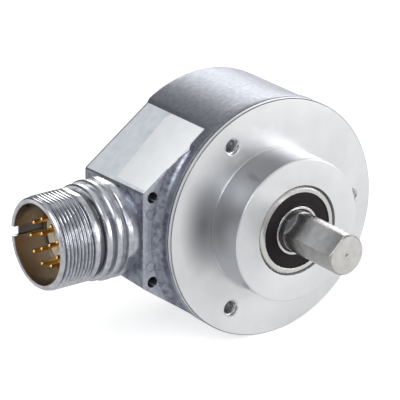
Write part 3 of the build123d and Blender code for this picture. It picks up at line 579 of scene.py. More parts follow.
def finish_mesh(bm: bmesh.types.BMesh, name: str, sharp_deg: float = 32.0) -> bpy.types.Object:
    """Weld, orient and smooth a mesh in metres and link its object.

    Args:
        bm: Mesh to finish; it is freed.
        name: Name of the object.
        sharp_deg: Edges that turn by more stay sharp.

    Returns:
        The new object.
    """
    bmesh.ops.remove_doubles(bm, verts=bm.verts, dist=2e-7)
    bmesh.ops.dissolve_degenerate(bm, edges=bm.edges, dist=1e-7)
    bmesh.ops.recalc_face_normals(bm, faces=bm.faces)
    mark_edges(bm, sharp_deg)
    mesh = bpy.data.meshes.new(name)
    bm.to_mesh(mesh)
    bm.free()
    obj = bpy.data.objects.new(name, mesh)
    bpy.context.scene.collection.objects.link(obj)
    return obj


def mark_edges(bm: bmesh.types.BMesh, sharp_deg: float) -> None:
    """Smooth every face and mark the edges that turn by more than the limit as sharp."""
    limit = math.radians(sharp_deg)
    for face in bm.faces:
        face.smooth = True
    for edge in bm.edges:
        faces = edge.link_faces
        edge.smooth = len(faces) == 2 and faces[0].normal.angle(faces[1].normal, 0.0) < limit


def skin(bm: bmesh.types.BMesh, rows: Sequence[np.ndarray]) -> None:
    """Join rows of points, each a closed loop, with quads. A row of one point closes a pole.

    Args:
        bm: Mesh to add to.
        rows: Arrays of points in millimetres, all with the same count, or one point.
    """
    loops = [[bm.verts.new(Vector(p) * MM) for p in row] for row in rows]
    for low, high in zip(loops, loops[1:]):
        count = max(len(low), len(high))
        for j in range(count):
            i = (j + 1) % count
            corners = [low[j % len(low)], low[i % len(low)], high[i % len(high)], high[j % len(high)]]
            unique = list(dict.fromkeys(corners))
            if len(unique) > 2:
                bm.faces.new(unique)


def circle_row(radius: float, y: float, angles: np.ndarray) -> np.ndarray:
    """Row of points about the shaft axis; a radius of zero gives the pole alone."""
    if radius <= TINY:
        return np.array([[0.0, y, 0.0]])
    return np.stack([radius * np.cos(angles), np.full_like(angles, y), radius * np.sin(angles)], 1)


def lathe(name: str, outline: Sequence[Point], segments: int) -> bpy.types.Object:
    """Turn an outline of (radius, y) points about the shaft axis.

    Args:
        name: Name of the object.
        outline: Points; it starts and ends on the axis, or is closed to a ring.
        segments: Steps round the axis.

    Returns:
        The object.
    """
    angles = np.linspace(0.0, 2 * math.pi, segments, endpoint=False)
    rows = [circle_row(r, y, angles) for r, y in outline]
    if outline[0][0] > TINY:
        rows.append(rows[0])
    bm = bmesh.new()
    skin(bm, rows)
    return finish_mesh(bm, name)


def plain(obj: bpy.types.Object) -> bpy.types.Object:
    """Turn an object with modifiers into a plain mesh without them.

    Args:
        obj: The object.

    Returns:
        The same object.
    """
    bpy.context.view_layer.update()
    evaluated = obj.evaluated_get(bpy.context.evaluated_depsgraph_get())
    mesh = bpy.data.meshes.new_from_object(evaluated)
    obj.modifiers.clear()
    obj.data = mesh
    return obj


def carve(obj: bpy.types.Object, cutters: Sequence[bpy.types.Object],
          sharp_deg: float = 32.0) -> bpy.types.Object:
    """Cut an object with others, which are then removed.

    Args:
        obj: Object to cut.
        cutters: Closed meshes.
        sharp_deg: Edges that turn by more stay sharp.

    Returns:
        The cut object.
    """
    for cutter in cutters:
        modifier = obj.modifiers.new("cut", "BOOLEAN")
        modifier.operation = "DIFFERENCE"
        modifier.solver = "EXACT"
        modifier.object = cutter
        plain(obj)
        bpy.data.objects.remove(cutter)
    bm = bmesh.new()
    bm.from_mesh(obj.data)
    mark_edges(bm, sharp_deg)
    bm.to_mesh(obj.data)
    bm.free()
    return obj


def box_mesh(name: str, low: Sequence[float], high: Sequence[float]) -> bpy.types.Object:
    """Block between two corners in millimetres, used as a cutter."""
    bm = bmesh.new()
    bmesh.ops.create_cube(bm, size=1.0)
    size = Vector([h - l for l, h in zip(low, high)])
    middle = Vector([(h + l) / 2 for l, h in zip(low, high)])
    for vert in bm.verts:
        vert.co = Vector([c * s + m for c, s, m in zip(vert.co, size, middle)]) * MM
    return finish_mesh(bm, name)


def moved(obj: bpy.types.Object, x: float, y: float, z: float) -> bpy.types.Object:
    """Shift an object's mesh by millimetres, leaving the object at the origin."""
    obj.data.transform(Matrix.Translation(Vector((x, y, z)) * MM))
    return obj


def dress(obj: bpy.types.Object, *materials: bpy.types.Material) -> bpy.types.Object:
    """Give an object its material slots in order. Every face goes back to the first of them."""
    obj.data.materials.clear()
    for material in materials:
        obj.data.materials.append(material)
    return obj


def settle(obj: bpy.types.Object, body: str, slot: str, *nodes: str) -> bpy.types.Object:
    """Tie a finished piece to its body and to the nodes that it stands for, which it hides.

    Args:
        obj: The piece.
        body: Body that it rides on.
        slot: Material slot of the record; not used.
        *nodes: Nodes that it replaces.

    Returns:
        The piece.
    """
    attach(obj, body)
    if nodes:
        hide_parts(*nodes)
    LOG.info("piece %s on %s, %d faces", obj.name, body, len(obj.data.polygons))
    return obj


# Geometry Nodes trees


class Growth:
    """A Geometry Nodes tree with named inputs, built in code and then baked to a plain mesh."""

    def __init__(self, name: str) -> None:
        """Make an empty tree with a geometry output.

        Args:
            name: Name of the tree.
        """
        self.tree = bpy.data.node_groups.new(name, "GeometryNodeTree")
        self.tree.interface.new_socket("Geometry", in_out="OUTPUT", socket_type="NodeSocketGeometry")
        self.inputs: dict[str, tuple[str, object]] = {}
        self.group_in = self.tree.nodes.new("NodeGroupInput")
        self.group_out = self.tree.nodes.new("NodeGroupOutput")

    def size(self, name: str, value: float, kind: str = "NodeSocketFloat") -> bpy.types.NodeSocket:
        """Add a named input.

        Args:
            name: Name of the input.
            value: Its value.
            kind: Socket type.

        Returns:
            The socket that carries it in the tree.
        """
        socket = self.tree.interface.new_socket(name, in_out="INPUT", socket_type=kind)
        self.inputs[name] = (socket.identifier, value)
        return self.group_in.outputs[name]

    def add(self, kind: str, inputs: Optional[dict[object, object]] = None,
            **settings: object) -> bpy.types.Node:
        """Add a node, set its properties and feed its inputs by name or index.

        Args:
            kind: Blender's type name of the node.
            inputs: Values or sockets by input name or index.
            **settings: Properties of the node.

        Returns:
            The new node.
        """
        node = self.tree.nodes.new(kind)
        for key, value in settings.items():
            setattr(node, key, value)
        for key, value in (inputs or {}).items():
            socket = node.inputs[key]
            if isinstance(value, bpy.types.NodeSocket):
                self.tree.links.new(value, socket)
            else:
                socket.default_value = value
        return node

    def calc(self, operation: str, *values: object) -> bpy.types.NodeSocket:
        """Add a math node and return its result."""
        return self.add("ShaderNodeMath", dict(enumerate(values)), operation=operation).outputs[0]

    def finish(self, geometry: bpy.types.NodeSocket, name: str,
               material: bpy.types.Material) -> bpy.types.Object:
        """Close the tree, run it on a new object and keep the result as a plain mesh.

        Args:
            geometry: Geometry to output.
            name: Name of the object.
            material: Material to set.

        Returns:
            The object, without a modifier.
        """
        real = self.add("GeometryNodeRealizeInstances", {"Geometry": geometry})
        dressed = self.add("GeometryNodeSetMaterial", {"Geometry": real.outputs[0], "Material": material})
        self.tree.links.new(dressed.outputs[0], self.group_out.inputs[0])
        obj = bpy.data.objects.new(name, bpy.data.meshes.new(name))
        bpy.context.scene.collection.objects.link(obj)
        modifier = obj.modifiers.new(name, "NODES")
        modifier.node_group = self.tree
        for identifier, value in self.inputs.values():
            modifier[identifier] = value
        plain(obj)
        return obj


def close_rings(obj: bpy.types.Object, sharp_deg: float = 40.0) -> bpy.types.Object:
    """Bridge the two open ends of a tube-like mesh, orient it and mark its sharp edges."""
    bm = bmesh.new()
    bm.from_mesh(obj.data)
    bmesh.ops.remove_doubles(bm, verts=bm.verts, dist=2e-7)
    border = [edge for edge in bm.edges if edge.is_boundary]
    if border:
        bmesh.ops.bridge_loops(bm, edges=border)
    bmesh.ops.recalc_face_normals(bm, faces=bm.faces)
    mark_edges(bm, sharp_deg)
    bm.to_mesh(obj.data)
    bm.free()
    return obj


# The flange


@dataclass
class Flange:
    """Turned mounting flange: rim, centring collar, bearing bore, spigot and tapped holes."""

    rim_r: float = 30.0
    rim: float = 1.25
    collar_r: float = 18.0
    collar: float = 10.0
    bore_r: float = 11.0
    bore_bevel: float = 0.35
    bore_bevel_deep: float = 0.7
    seam: float = 0.35
    neck_r: float = 29.1
    spigot_r: float = 27.95
    back: float = 8.0
    rear_seat: float = 0.5
    hub_r: float = 9.6
    edge: float = 0.22
    collar_edge: float = 0.32
    tap_pcd: float = 48.0
    tap_count: int = 3
    tap_r: float = 2.0
    tap_sink: float = 0.25
    tap_depth: float = 5.6
    tap_point: float = 1.1
    tap_pitch: float = 0.7
    tap_ridge: float = 0.27

    def outline(self) -> list[Point]:
        """Return the turned outline from the bearing seat round to the back."""
        e = self.edge
        c = self.collar_edge
        bore = self.bore_r
        points = [
            (self.hub_r, -4.0), (bore, -4.0), (bore, self.bore_bevel_deep - self.collar),
            (bore + self.bore_bevel, -self.collar), (self.collar_r - c, -self.collar),
            (self.collar_r, c - self.collar), (self.collar_r, -0.25), (self.collar_r - 0.12, -0.12),
            (self.collar_r - 0.12, 0.06), (self.collar_r + 0.22, 0.06), (self.collar_r + 0.34, 0.0),
            (self.rim_r - e, 0.0), (self.rim_r, e), (self.rim_r, self.rim - e), (self.rim_r - e, self.rim),
            (self.neck_r, self.rim), (self.neck_r, self.rim + self.seam),
            (self.spigot_r, self.rim + self.seam), (self.spigot_r, self.back), (bore, self.back),
            (bore, self.rear_seat), (self.hub_r, self.rear_seat),
        ]
        return soften(points, 0.07)

    def hole_places(self) -> list[Point]:
        """Return the (x, z) places of the tapped holes."""
        step = 2 * math.pi / self.tap_count
        r = self.tap_pcd / 2
        return [(r * math.cos(step * k), r * math.sin(step * k)) for k in range(self.tap_count)]

    def hole_cutter(self, x: float, z: float) -> bpy.types.Object:
        """Return the cutter of one tapped hole, with its countersink and drill point."""
        r = self.tap_r
        s = self.tap_sink
        outline = [(0.0, -1.0), (r + s, -1.0), (r + s, 0.0), (r, s), (r, self.tap_depth),
                   (0.0, self.tap_depth + self.tap_point)]
        return moved(lathe("hole_cutter", outline, 64), x, 0.0, z)

    def threads(self, material: bpy.types.Material) -> bpy.types.Object:
        """Grow the thread turns in the three holes.

        Args:
            material: Finish of the turns.

        Returns:
            One object with a helix in each hole.
        """
        tree = Growth("tapped_thread_turns")
        pitch = tree.size("Pitch", self.tap_pitch * MM)
        length = tree.size("Length", (self.tap_depth - 0.7) * MM)
        radius = tree.size("Radius", (self.tap_r - 0.02) * MM)
        ridge = tree.size("Ridge", self.tap_ridge * MM)
        circle = tree.size("Circle", self.tap_pcd / 2 * MM)
        count = tree.size("Count", self.tap_count, "NodeSocketInt")
        turns = tree.calc("DIVIDE", length, pitch)
        spiral = tree.add("GeometryNodeCurveSpiral", {
            "Resolution": 40, "Rotations": turns, "Start Radius": radius, "End Radius": radius,
            "Height": length})
        profile = tree.add("GeometryNodeCurvePrimitiveCircle", {"Resolution": 3, "Radius": ridge})
        sweep = tree.add("GeometryNodeCurveToMesh", {
            "Curve": spiral.outputs[0], "Profile Curve": profile.outputs[0], "Fill Caps": True})
        turn = tree.add("GeometryNodeTransform", {
            "Geometry": sweep.outputs[0], "Rotation": (-math.pi / 2, 0.0, 0.0),
            "Translation": (0.0, 0.45 * MM, 0.0)})
        ring = tree.add("GeometryNodeMeshCircle", {"Vertices": count, "Radius": circle})
        upright = tree.add("GeometryNodeTransform", {
            "Geometry": ring.outputs[0], "Rotation": (math.pi / 2, 0.0, 0.0)})
        spots = tree.add("GeometryNodeInstanceOnPoints", {
            "Points": upright.outputs[0], "Instance": turn.outputs[0]})
        return close_rings(tree.finish(spots.outputs[0], "flange_thread_turns", material), 20.0)

    def build(self, finishes: Finishes) -> None:
        """Build and settle the flange and its thread turns.

        Args:
            finishes: Finishes of the encoder.
        """
        material = finishes.flange.material()
        body = lathe("flange_turned", self.outline(), 360)
        body = carve(body, [self.hole_cutter(x, z) for x, z in self.hole_places()])
        others = [kind.material() for kind in (finishes.collar, finishes.dark_steel_and_shade, finishes.rim)]
        dress(body, material, *others)
        self.mark_turned(body)
        settle(body, STATOR, "turned_aluminium", "front_flange")
        settle(self.threads(finishes.zinced.material()), STATOR, "turned_aluminium")

    def mark_turned(self, body: bpy.types.Object) -> None:
        """Give the collar's side a darker copy of the turned finish and the rim its own finish; the
        darker collar and the dark finish on the fine bevels are painted shade.

        Args:
            body: The dressed flange.
        """
        bore_edge_r = self.bore_r + self.bore_bevel + 0.02
        bore_edge_y = self.bore_bevel_deep - self.collar + 0.3
        rim_edge_r = self.rim_r - self.edge
        for face in body.data.polygons:
            centre, normal = face.center / MM, face.normal
            radius = math.hypot(centre.x, centre.z)
            upright = abs(normal.y) < 0.2
            if upright and abs(radius - self.collar_r) < 0.3:
                face.material_index = 1
            # Slot 2 paints shade on the bore's bevel and on the rim's front bevel
            elif radius < bore_edge_r and centre.y < bore_edge_y:
                face.material_index = 2
            elif radius > rim_edge_r and upright and centre.y < self.rim:
                face.material_index = 3
            elif radius > rim_edge_r - 0.08 and centre.y < self.edge and abs(normal.y) < 0.95:
                face.material_index = 2


# The housing


# Material slots of the casting beside its plain one, which is 0; slot 2 is a darker copy of the casting that
# paints shade
SLOPE, PAINTED_SHADE, PAD = range(1, 4)


@dataclass
class Housing:
    """Die-cast cup with the connector block, skinned over sections along the shaft axis."""

    lip_r: float = 30.0
    cast_r: float = 29.65
    rear_r: float = 29.4955
    lip_y: float = 1.6
    cast_y: float = 5.0
    rear_y: float = 30.3
    rear_round: float = 1.2
    seat_r: float = 27.98
    cavity_r: float = 27.35
    floor_y: float = 27.8
    face_x: float = -34.4
    slope_deg: float = 35.2
    slope_reach: float = 29.65
    slope_draft_deg: float = 1.58
    step_deg: float = 121.4
    foot_deg: float = 123.6
    slope_foot_x: float = -16.3
    block_edge: float = 0.75
    front_edge: float = 0.3
    root_round: float = 2.2
    arc_steps: int = 150
    slope_steps: int = 14
    pad_y: float = 17.0
    pad_skew: float = 2.4
    pad_raise: float = 0.22
    pad_gap: float = 0.32
    pad_top: float = 0.9875
    hole_r: float = 1.4
    hole_x: float = -31.8
    hole_z: float = 10.82
    hole_depth: float = 7.0
    mark_r: float = 1.35
    mark_x: float = -32.3
    mark_z: float = 6.67
    mark_depth: float = 0.14
    mark_ring: float = 0.22
    hole_point: float = 0.6

    def slope_normal(self) -> np.ndarray:
        """Direction (x, z) in which the upper slope looks."""
        angle = math.radians(90 + self.slope_deg)
        return np.array([math.cos(angle), math.sin(angle)])

    def reach(self, y: float) -> float:
        """Distance of the slope plane from the shaft axis at y."""
        return self.slope_reach - max(0.0, y - self.cast_y) * math.tan(math.radians(self.slope_draft_deg))

    def slope_at(self, y: float, angle_deg: float) -> Point:
        """Point of the upper slope in the direction of an angle about the axis."""
        normal = 90 + self.slope_deg
        r = self.reach(y) / math.cos(math.radians(angle_deg - normal))
        return r * math.cos(math.radians(angle_deg)), r * math.sin(math.radians(angle_deg))

    def corner(self, y: float) -> Point:
        """Corner between the upper slope and the outer face at y."""
        across, up = self.slope_normal()
        return self.face_x, float((self.reach(y) - self.face_x * across) / up)

    def round_r(self, y: float) -> float:
        """Radius of the drafted round casting at y."""
        share = (y - self.cast_y) / (self.rear_y - self.cast_y)
        return self.cast_r + (self.rear_r - self.cast_r) * min(1.0, max(0.0, share))

    def section(self, y: float, inset: float = 0.0) -> np.ndarray:
        """Closed outline of the casting at y.

        Args:
            y: Place along the shaft axis.
            inset: How far the outline is drawn in, for edges.

        Returns:
            Points (x, z), starting at +X and running through +Z.
        """
        r = self.round_r(y) - inset
        arc = np.radians(np.linspace(0.0, self.step_deg, self.arc_steps))
        upper = [(r * math.cos(a), r * math.sin(a)) for a in arc]
        normal = self.slope_normal()
        foot = np.array(self.slope_at(y, self.foot_deg)) - normal * inset
        face = np.array(self.corner(y))
        corner = face - normal * inset
        corner += np.array([1.0, math.tan(math.radians(self.slope_deg))]) * inset
        top = np.array(upper[-1])
        upper += [tuple(top + (foot - top) * s) for s in (0.35, 0.7)]
        bend = arc_corner(tuple(foot), tuple(corner), (corner[0], 0.0), self.block_edge, 5)
        first = np.array(bend[0])
        upper += [tuple(foot + (first - foot) * s) for s in np.linspace(0.0, 1.0, self.slope_steps)[:-1]]
        upper += bend
        last = bend[-1]
        upper += [(last[0], last[1] * s) for s in np.linspace(1.0, 0.0, 8)[1:]]
        lower = [(x, -z) for x, z in reversed(upper[1:-1])]
        return np.array(upper + lower)

    def cast_row(self, y: float, inset: float = 0.0) -> np.ndarray:
        """Row of points of the casting at y, drawn in by an inset."""
        outline = self.section(y, inset)
        return np.stack([outline[:, 0], np.full(len(outline), y), outline[:, 1]], 1)

    def rows(self) -> list[np.ndarray]:
        """Return the rows from the cavity floor to the rear centre."""
        front = self.section(self.cast_y)
        angles = np.arctan2(front[:, 1], front[:, 0])
        reach = np.hypot(front[:, 0], front[:, 1])
        rows: list[np.ndarray] = []

        def ring(r: float, y: float) -> None:
            """Add a round row."""
            rows.append(circle_row(r, y, angles))

        def polar(r: np.ndarray, y: np.ndarray) -> None:
            """Add a row of radius and y for each angle."""
            rows.append(np.stack([r * np.cos(angles), y, r * np.sin(angles)], 1))

        ring(0.0, self.floor_y)
        ring(self.cavity_r - 0.4, self.floor_y)
        ring(self.cavity_r, 8.4)
        ring(self.seat_r, 8.3)
        ring(self.seat_r, self.lip_y + 0.15)
        ring(self.seat_r + 0.15, self.lip_y)
        for a in np.linspace(0.0, math.pi / 2, 4):
            ring(self.lip_r - 0.15 + 0.15 * math.sin(a), self.lip_y + 0.15 - 0.15 * math.cos(a))
        f = self.root_round
        width = np.clip(reach - self.lip_r, 0.0, f)
        limit = np.arccos(1.0 - width / f)
        for s in np.linspace(0.0, 1.0, 9):
            a = limit * s
            y = self.cast_y - f + f * np.sin(a)
            y = np.where(width <= 0.0, self.cast_y - f * (1.0 - s) * 0.9 - 0.12, y)
            polar(self.lip_r + f * (1.0 - np.cos(a)), y)
        block = reach > self.lip_r + f
        edge = self.front_edge
        face = np.where(block, reach - edge, np.where(width > 0.0, reach, self.lip_r - 0.06))
        inner = np.where(block, self.lip_r + f, face)
        flat_y = np.where(width > 0.0, np.minimum(rows[-1][:, 1], self.cast_y), self.cast_y)
        for s in (0.5, 1.0):
            polar(inner + (face - inner) * s, flat_y)
        for a in np.linspace(0.0, math.pi / 2, 4)[1:]:
            lift = edge * (1.0 - math.cos(a))
            out = np.where(block, reach - edge + edge * math.sin(a), face + (reach - face) * math.sin(a))
            polar(out, np.maximum(flat_y + lift, rows[-1][:, 1]))
        for y in np.linspace(self.cast_y + 1.0, self.rear_y - self.rear_round, 26):
            rows.append(self.cast_row(float(y)))
        for a in np.linspace(0.0, math.pi / 2, 6)[1:]:
            y = self.rear_y - self.rear_round + self.rear_round * math.sin(a)
            rows.append(self.cast_row(y, self.rear_round * (1.0 - math.cos(a))))
        last = rows[-1]
        for s in (0.9, 0.5, 0.2):
            rows.append(last * np.array([s, 1.0, s]))
        rows.append(np.array([[0.0, self.rear_y, 0.0]]))
        return rows

    def pad(self) -> bpy.types.Object:
        """Raised, dressed pad on the front of the upper slope, with a rounded rear corner."""
        rise = np.array([1.0, math.tan(math.radians(self.slope_deg))])
        low = np.array(self.corner(self.cast_y)) + rise * self.block_edge
        high = np.array(self.slope_at(self.cast_y, self.foot_deg + 0.4))
        span = float(np.linalg.norm(high - low))
        front = self.cast_y + self.pad_gap
        flat = [(0.0, front), (0.0, self.pad_y), (span, self.pad_y + self.pad_skew), (span, front)]
        outline = [flat[0], flat[1]] + arc_corner(flat[1], flat[2], flat[3], 2.0, 8) + [flat[3]]
        bm = bmesh.new()
        rings = []
        centre = np.mean(outline, 0)
        for lift, scale in ((-0.6, 1.0), (self.pad_raise - 0.1, 1.0), (self.pad_raise, self.pad_top)):
            ring = []
            for point in outline:
                u, y = centre + (np.array(point) - centre) * scale
                x, z = low + (high - low) / span * u + self.slope_normal() * lift
                ring.append((x, y, z))
            rings.append(np.array(ring))
        skin(bm, rings)
        bm.verts.ensure_lookup_table()
        count = len(outline)
        bm.faces.new([bm.verts[k] for k in range(count)])
        bm.faces.new([bm.verts[k] for k in range(2 * count, 3 * count)])
        return finish_mesh(bm, "slope_pad", 40.0)

    def build(self, finishes: Finishes) -> None:
        """Build and settle the housing and its pad.

        Args:
            finishes: Finishes of the encoder.
        """
        bm = bmesh.new()
        skin(bm, self.rows())
        body = finish_mesh(bm, "housing_cast", 24.0)
        y, rim_r = self.cast_y, self.mark_r - self.mark_ring
        hole = [(0.0, y - 1.0), (self.hole_r, y - 1.0), (self.hole_r, y + self.hole_depth),
                (0.0, y + self.hole_depth + self.hole_point)]
        mark = [(rim_r, y - 0.3), (self.mark_r, y - 0.3), (self.mark_r, y + self.mark_depth),
                (rim_r, y + self.mark_depth)]
        cutters = []
        for side in (1, -1):
            cutters.append(moved(lathe("hole", hole, 48), self.hole_x, 0.0, side * self.hole_z))
            cutters.append(moved(lathe("mark", mark, 48), self.mark_x, 0.0, side * self.mark_z))
        carve(body, cutters, sharp_deg=24.0)
        kinds = (finishes.casting, finishes.slope, finishes.root, finishes.pad)
        dress(body, *[kind.material() for kind in kinds])
        self.mark_slopes(body)
        settle(body, STATOR, "cast_zinc", "housing")
        settle(dress(self.pad(), finishes.pad.material()), STATOR, "cast_zinc")

    def mark_slopes(self, body: bpy.types.Object) -> None:
        """Give the slopes and the front land of the pad their finishes, and paint shade on the outer face
        and in the lip's root.

        Args:
            body: The dressed casting.
        """
        across, up = self.slope_normal()
        for face in body.data.polygons:
            centre, normal = face.center / MM, face.normal
            radius = math.hypot(centre.x, centre.z)
            beside = centre.x < self.slope_foot_x
            in_root = self.lip_r < radius < self.lip_r + self.root_round
            if beside and normal.x * across + abs(normal.z) * up > 0.997 and centre.y > self.cast_y - 0.2:
                face.material_index = PAD if centre.z > 0.0 and centre.y < self.cast_y + 0.7 else SLOPE
            # Painted shade: the block's outer face and the lip's root take the darker copy of the casting
            elif normal.x < -0.97:
                face.material_index = PAINTED_SHADE
            elif beside and in_root and self.cast_y - 1.9 < centre.y < self.cast_y + 0.05:
                face.material_index = PAINTED_SHADE


# The shaft and the bearing


@dataclass
class ShaftEnd:
    """Ground shaft with its driving flat, faced tip and centre drilling."""

    radius: float = 5.0
    tip_y: float = -29.0
    edge: float = 0.4
    flat_end_y: float = -11.0
    relief_r: float = 4.8
    relief_end_y: float = -9.7
    flat_at: float = 4.0
    flat_deg: float = 134.0
    rear_y: float = 7.7
    journal_r: float = 4.0
    journal_y: float = 9.6
    end_y: float = 13.7
    groove_r: float = 4.65
    groove_end_y: float = 8.8
    drill_r: float = 0.4

    def angles(self) -> np.ndarray:
        """Angles round the shaft with extra ones at both edges of the flat."""
        half = math.degrees(math.acos(self.flat_at / self.radius))
        edges = [self.flat_deg - half, self.flat_deg + half]
        flat = np.linspace(edges[0], edges[1], 25)
        rest = np.linspace(edges[1], edges[0] + 360.0, 120)[1:-1]
        return np.radians(np.concatenate([flat, rest]))

    def row(self, r: float, y: float, milled: bool) -> np.ndarray:
        """Row of the shaft at a radius, cut by the flat where it is milled."""
        angles = self.angles()
        radius = np.full_like(angles, r)
        if milled:
            toward = np.cos(angles - math.radians(self.flat_deg))
            at = self.flat_at - (self.radius - r)
            radius = np.minimum(radius, at / np.maximum(toward, 1e-6))
            radius = np.where(toward <= 0.0, r, radius)
        return np.stack([radius * np.cos(angles), np.full_like(angles, y), radius * np.sin(angles)], 1)

    def rows(self) -> list[np.ndarray]:
        """Rows from the centre drilling at the tip to the rear end."""
        tip, r, e = self.tip_y, self.radius, self.edge
        rows = [np.array([[0.0, tip + 2 * self.drill_r, 0.0]])]
        for radius in (self.drill_r, self.drill_r + 0.05, 2.0, r - e - 0.05):
            rows.append(self.row(radius, tip + (0.03 if radius == self.drill_r else 0.0), False))
        rows += [self.row(r - e, tip + 0.01, True), self.row(r - 0.04, tip + e - 0.04, True)]
        rows += [self.row(r, y, True) for y in np.linspace(tip + e + 0.04, self.flat_end_y, 12)]
        rows += [self.row(self.relief_r, y, False) for y in (self.flat_end_y, self.relief_end_y)]
        rows += [self.row(r, y, False) for y in (self.relief_end_y, self.rear_y)]
        rows += [self.row(self.groove_r, y, False) for y in (self.rear_y, self.groove_end_y)]
        rows += [self.row(r, y, False) for y in (self.groove_end_y, self.journal_y)]
        rows += [self.row(self.journal_r, y, False) for y in (self.journal_y, self.end_y)]
        rows.append(np.array([[0.0, self.end_y, 0.0]]))
        return rows

    def build(self, finishes: Finishes) -> None:
        """Build and settle the shaft, its flat in a finish of its own.

        Args:
            finishes: Finishes of the encoder.
        """
        bm = bmesh.new()
        skin(bm, self.rows())
        body = finish_mesh(bm, "shaft_ground", 18.0)
        turn = math.radians(self.flat_deg)
        toward = Vector((math.cos(turn), 0.0, math.sin(turn)))
        kinds = (finishes.shaft, finishes.flat, finishes.shaft_face, finishes.dark_steel_and_shade)
        dress(body, *[kind.material() for kind in kinds])
        for face in body.data.polygons:
            if face.normal.dot(toward) > 0.999:
                face.material_index = 1
            elif face.normal.y < -0.9 and face.center.y < (self.tip_y + 1.0) * MM:
                face.material_index = 2
            # The relief neck takes the dark finish as painted shade
            elif self.flat_end_y - 0.05 < face.center.y / MM < self.relief_end_y + 0.05:
                face.material_index = 3
        settle(body, ROTOR, "shaft_steel", "shaft")


@dataclass
class FrontBearing:
    """Visible side of the front ball bearing: two ground rings and the rubber seal."""

    front_y: float = -10.0
    width: float = 6.0
    outer_r: float = 11.0
    outer_in_r: float = 9.58
    inner_r: float = 5.0
    inner_out_r: float = 6.05
    seal_in_r: float = 6.16
    seal_out_r: float = 9.56
    recess: float = 0.18
    edge: float = 0.45

    def build(self, finishes: Finishes) -> None:
        """Build and settle the rings and the seal.

        Args:
            finishes: Finishes of the encoder.
        """
        y, far = self.front_y, self.front_y + self.width
        e = self.edge
        outer = [(self.outer_in_r, y), (self.outer_r - e, y), (self.outer_r, y + e), (self.outer_r, far - e),
                 (self.outer_r - e, far), (self.outer_in_r, far)]
        inner = [(self.inner_r + e, y), (self.inner_out_r, y), (self.inner_out_r, far),
                 (self.inner_r + e, far), (self.inner_r, far - e), (self.inner_r, y + e)]
        metal = finishes.ring.material()
        ring = lathe("bearing_outer_ring_ground", closed_soften(outer, 0.08), 200)
        settle(dress(ring, metal), STATOR, "bearing_steel", "front_bearing_outer_ring")
        ring = lathe("bearing_inner_ring_ground", closed_soften(inner, 0.08), 160)
        dress(ring, metal, finishes.dark_steel_and_shade.material())
        # The bore's edge, beside the shaft, takes the dark finish as painted shade
        for face in ring.data.polygons:
            if math.hypot(face.center.x, face.center.z) < (self.inner_r + e + 0.08) * MM:
                face.material_index = 1
        settle(ring, ROTOR, "bearing_steel", "front_bearing_inner_ring")
        seal = lathe("bearing_seal_moulded", self.seal_outline(), 200)
        settle(dress(seal, finishes.rubber.material()), STATOR, "black_rubber", "front_bearing_seals")

    def seal_outline(self) -> list[Point]:
        """Return the seal: edge bead, flat web, groove and raised inner lip."""
        y = self.front_y + self.recess
        a, b = self.seal_in_r, self.seal_out_r
        points = [
            (a, y + 0.55), (a, y - 0.02), (a + 0.22, y - 0.08), (a + 0.55, y - 0.06), (a + 0.70, y + 0.10),
            (a + 0.85, y + 0.05), (b - 0.42, y + 0.03), (b - 0.32, y + 0.14), (b - 0.16, y + 0.12),
            (b - 0.06, y + 0.02), (b, y + 0.05), (b, y + 0.55),
        ]
        return soften(points, 0.06)


def closed_soften(points: Sequence[Point], radius: float) -> list[Point]:
    """Round every corner of a closed outline."""
    count = len(points)
    result: list[Point] = []
    for k in range(count):
        result.extend(arc_corner(points[k - 1], points[k], points[(k + 1) % count], radius, 4))
    return result


# The connector


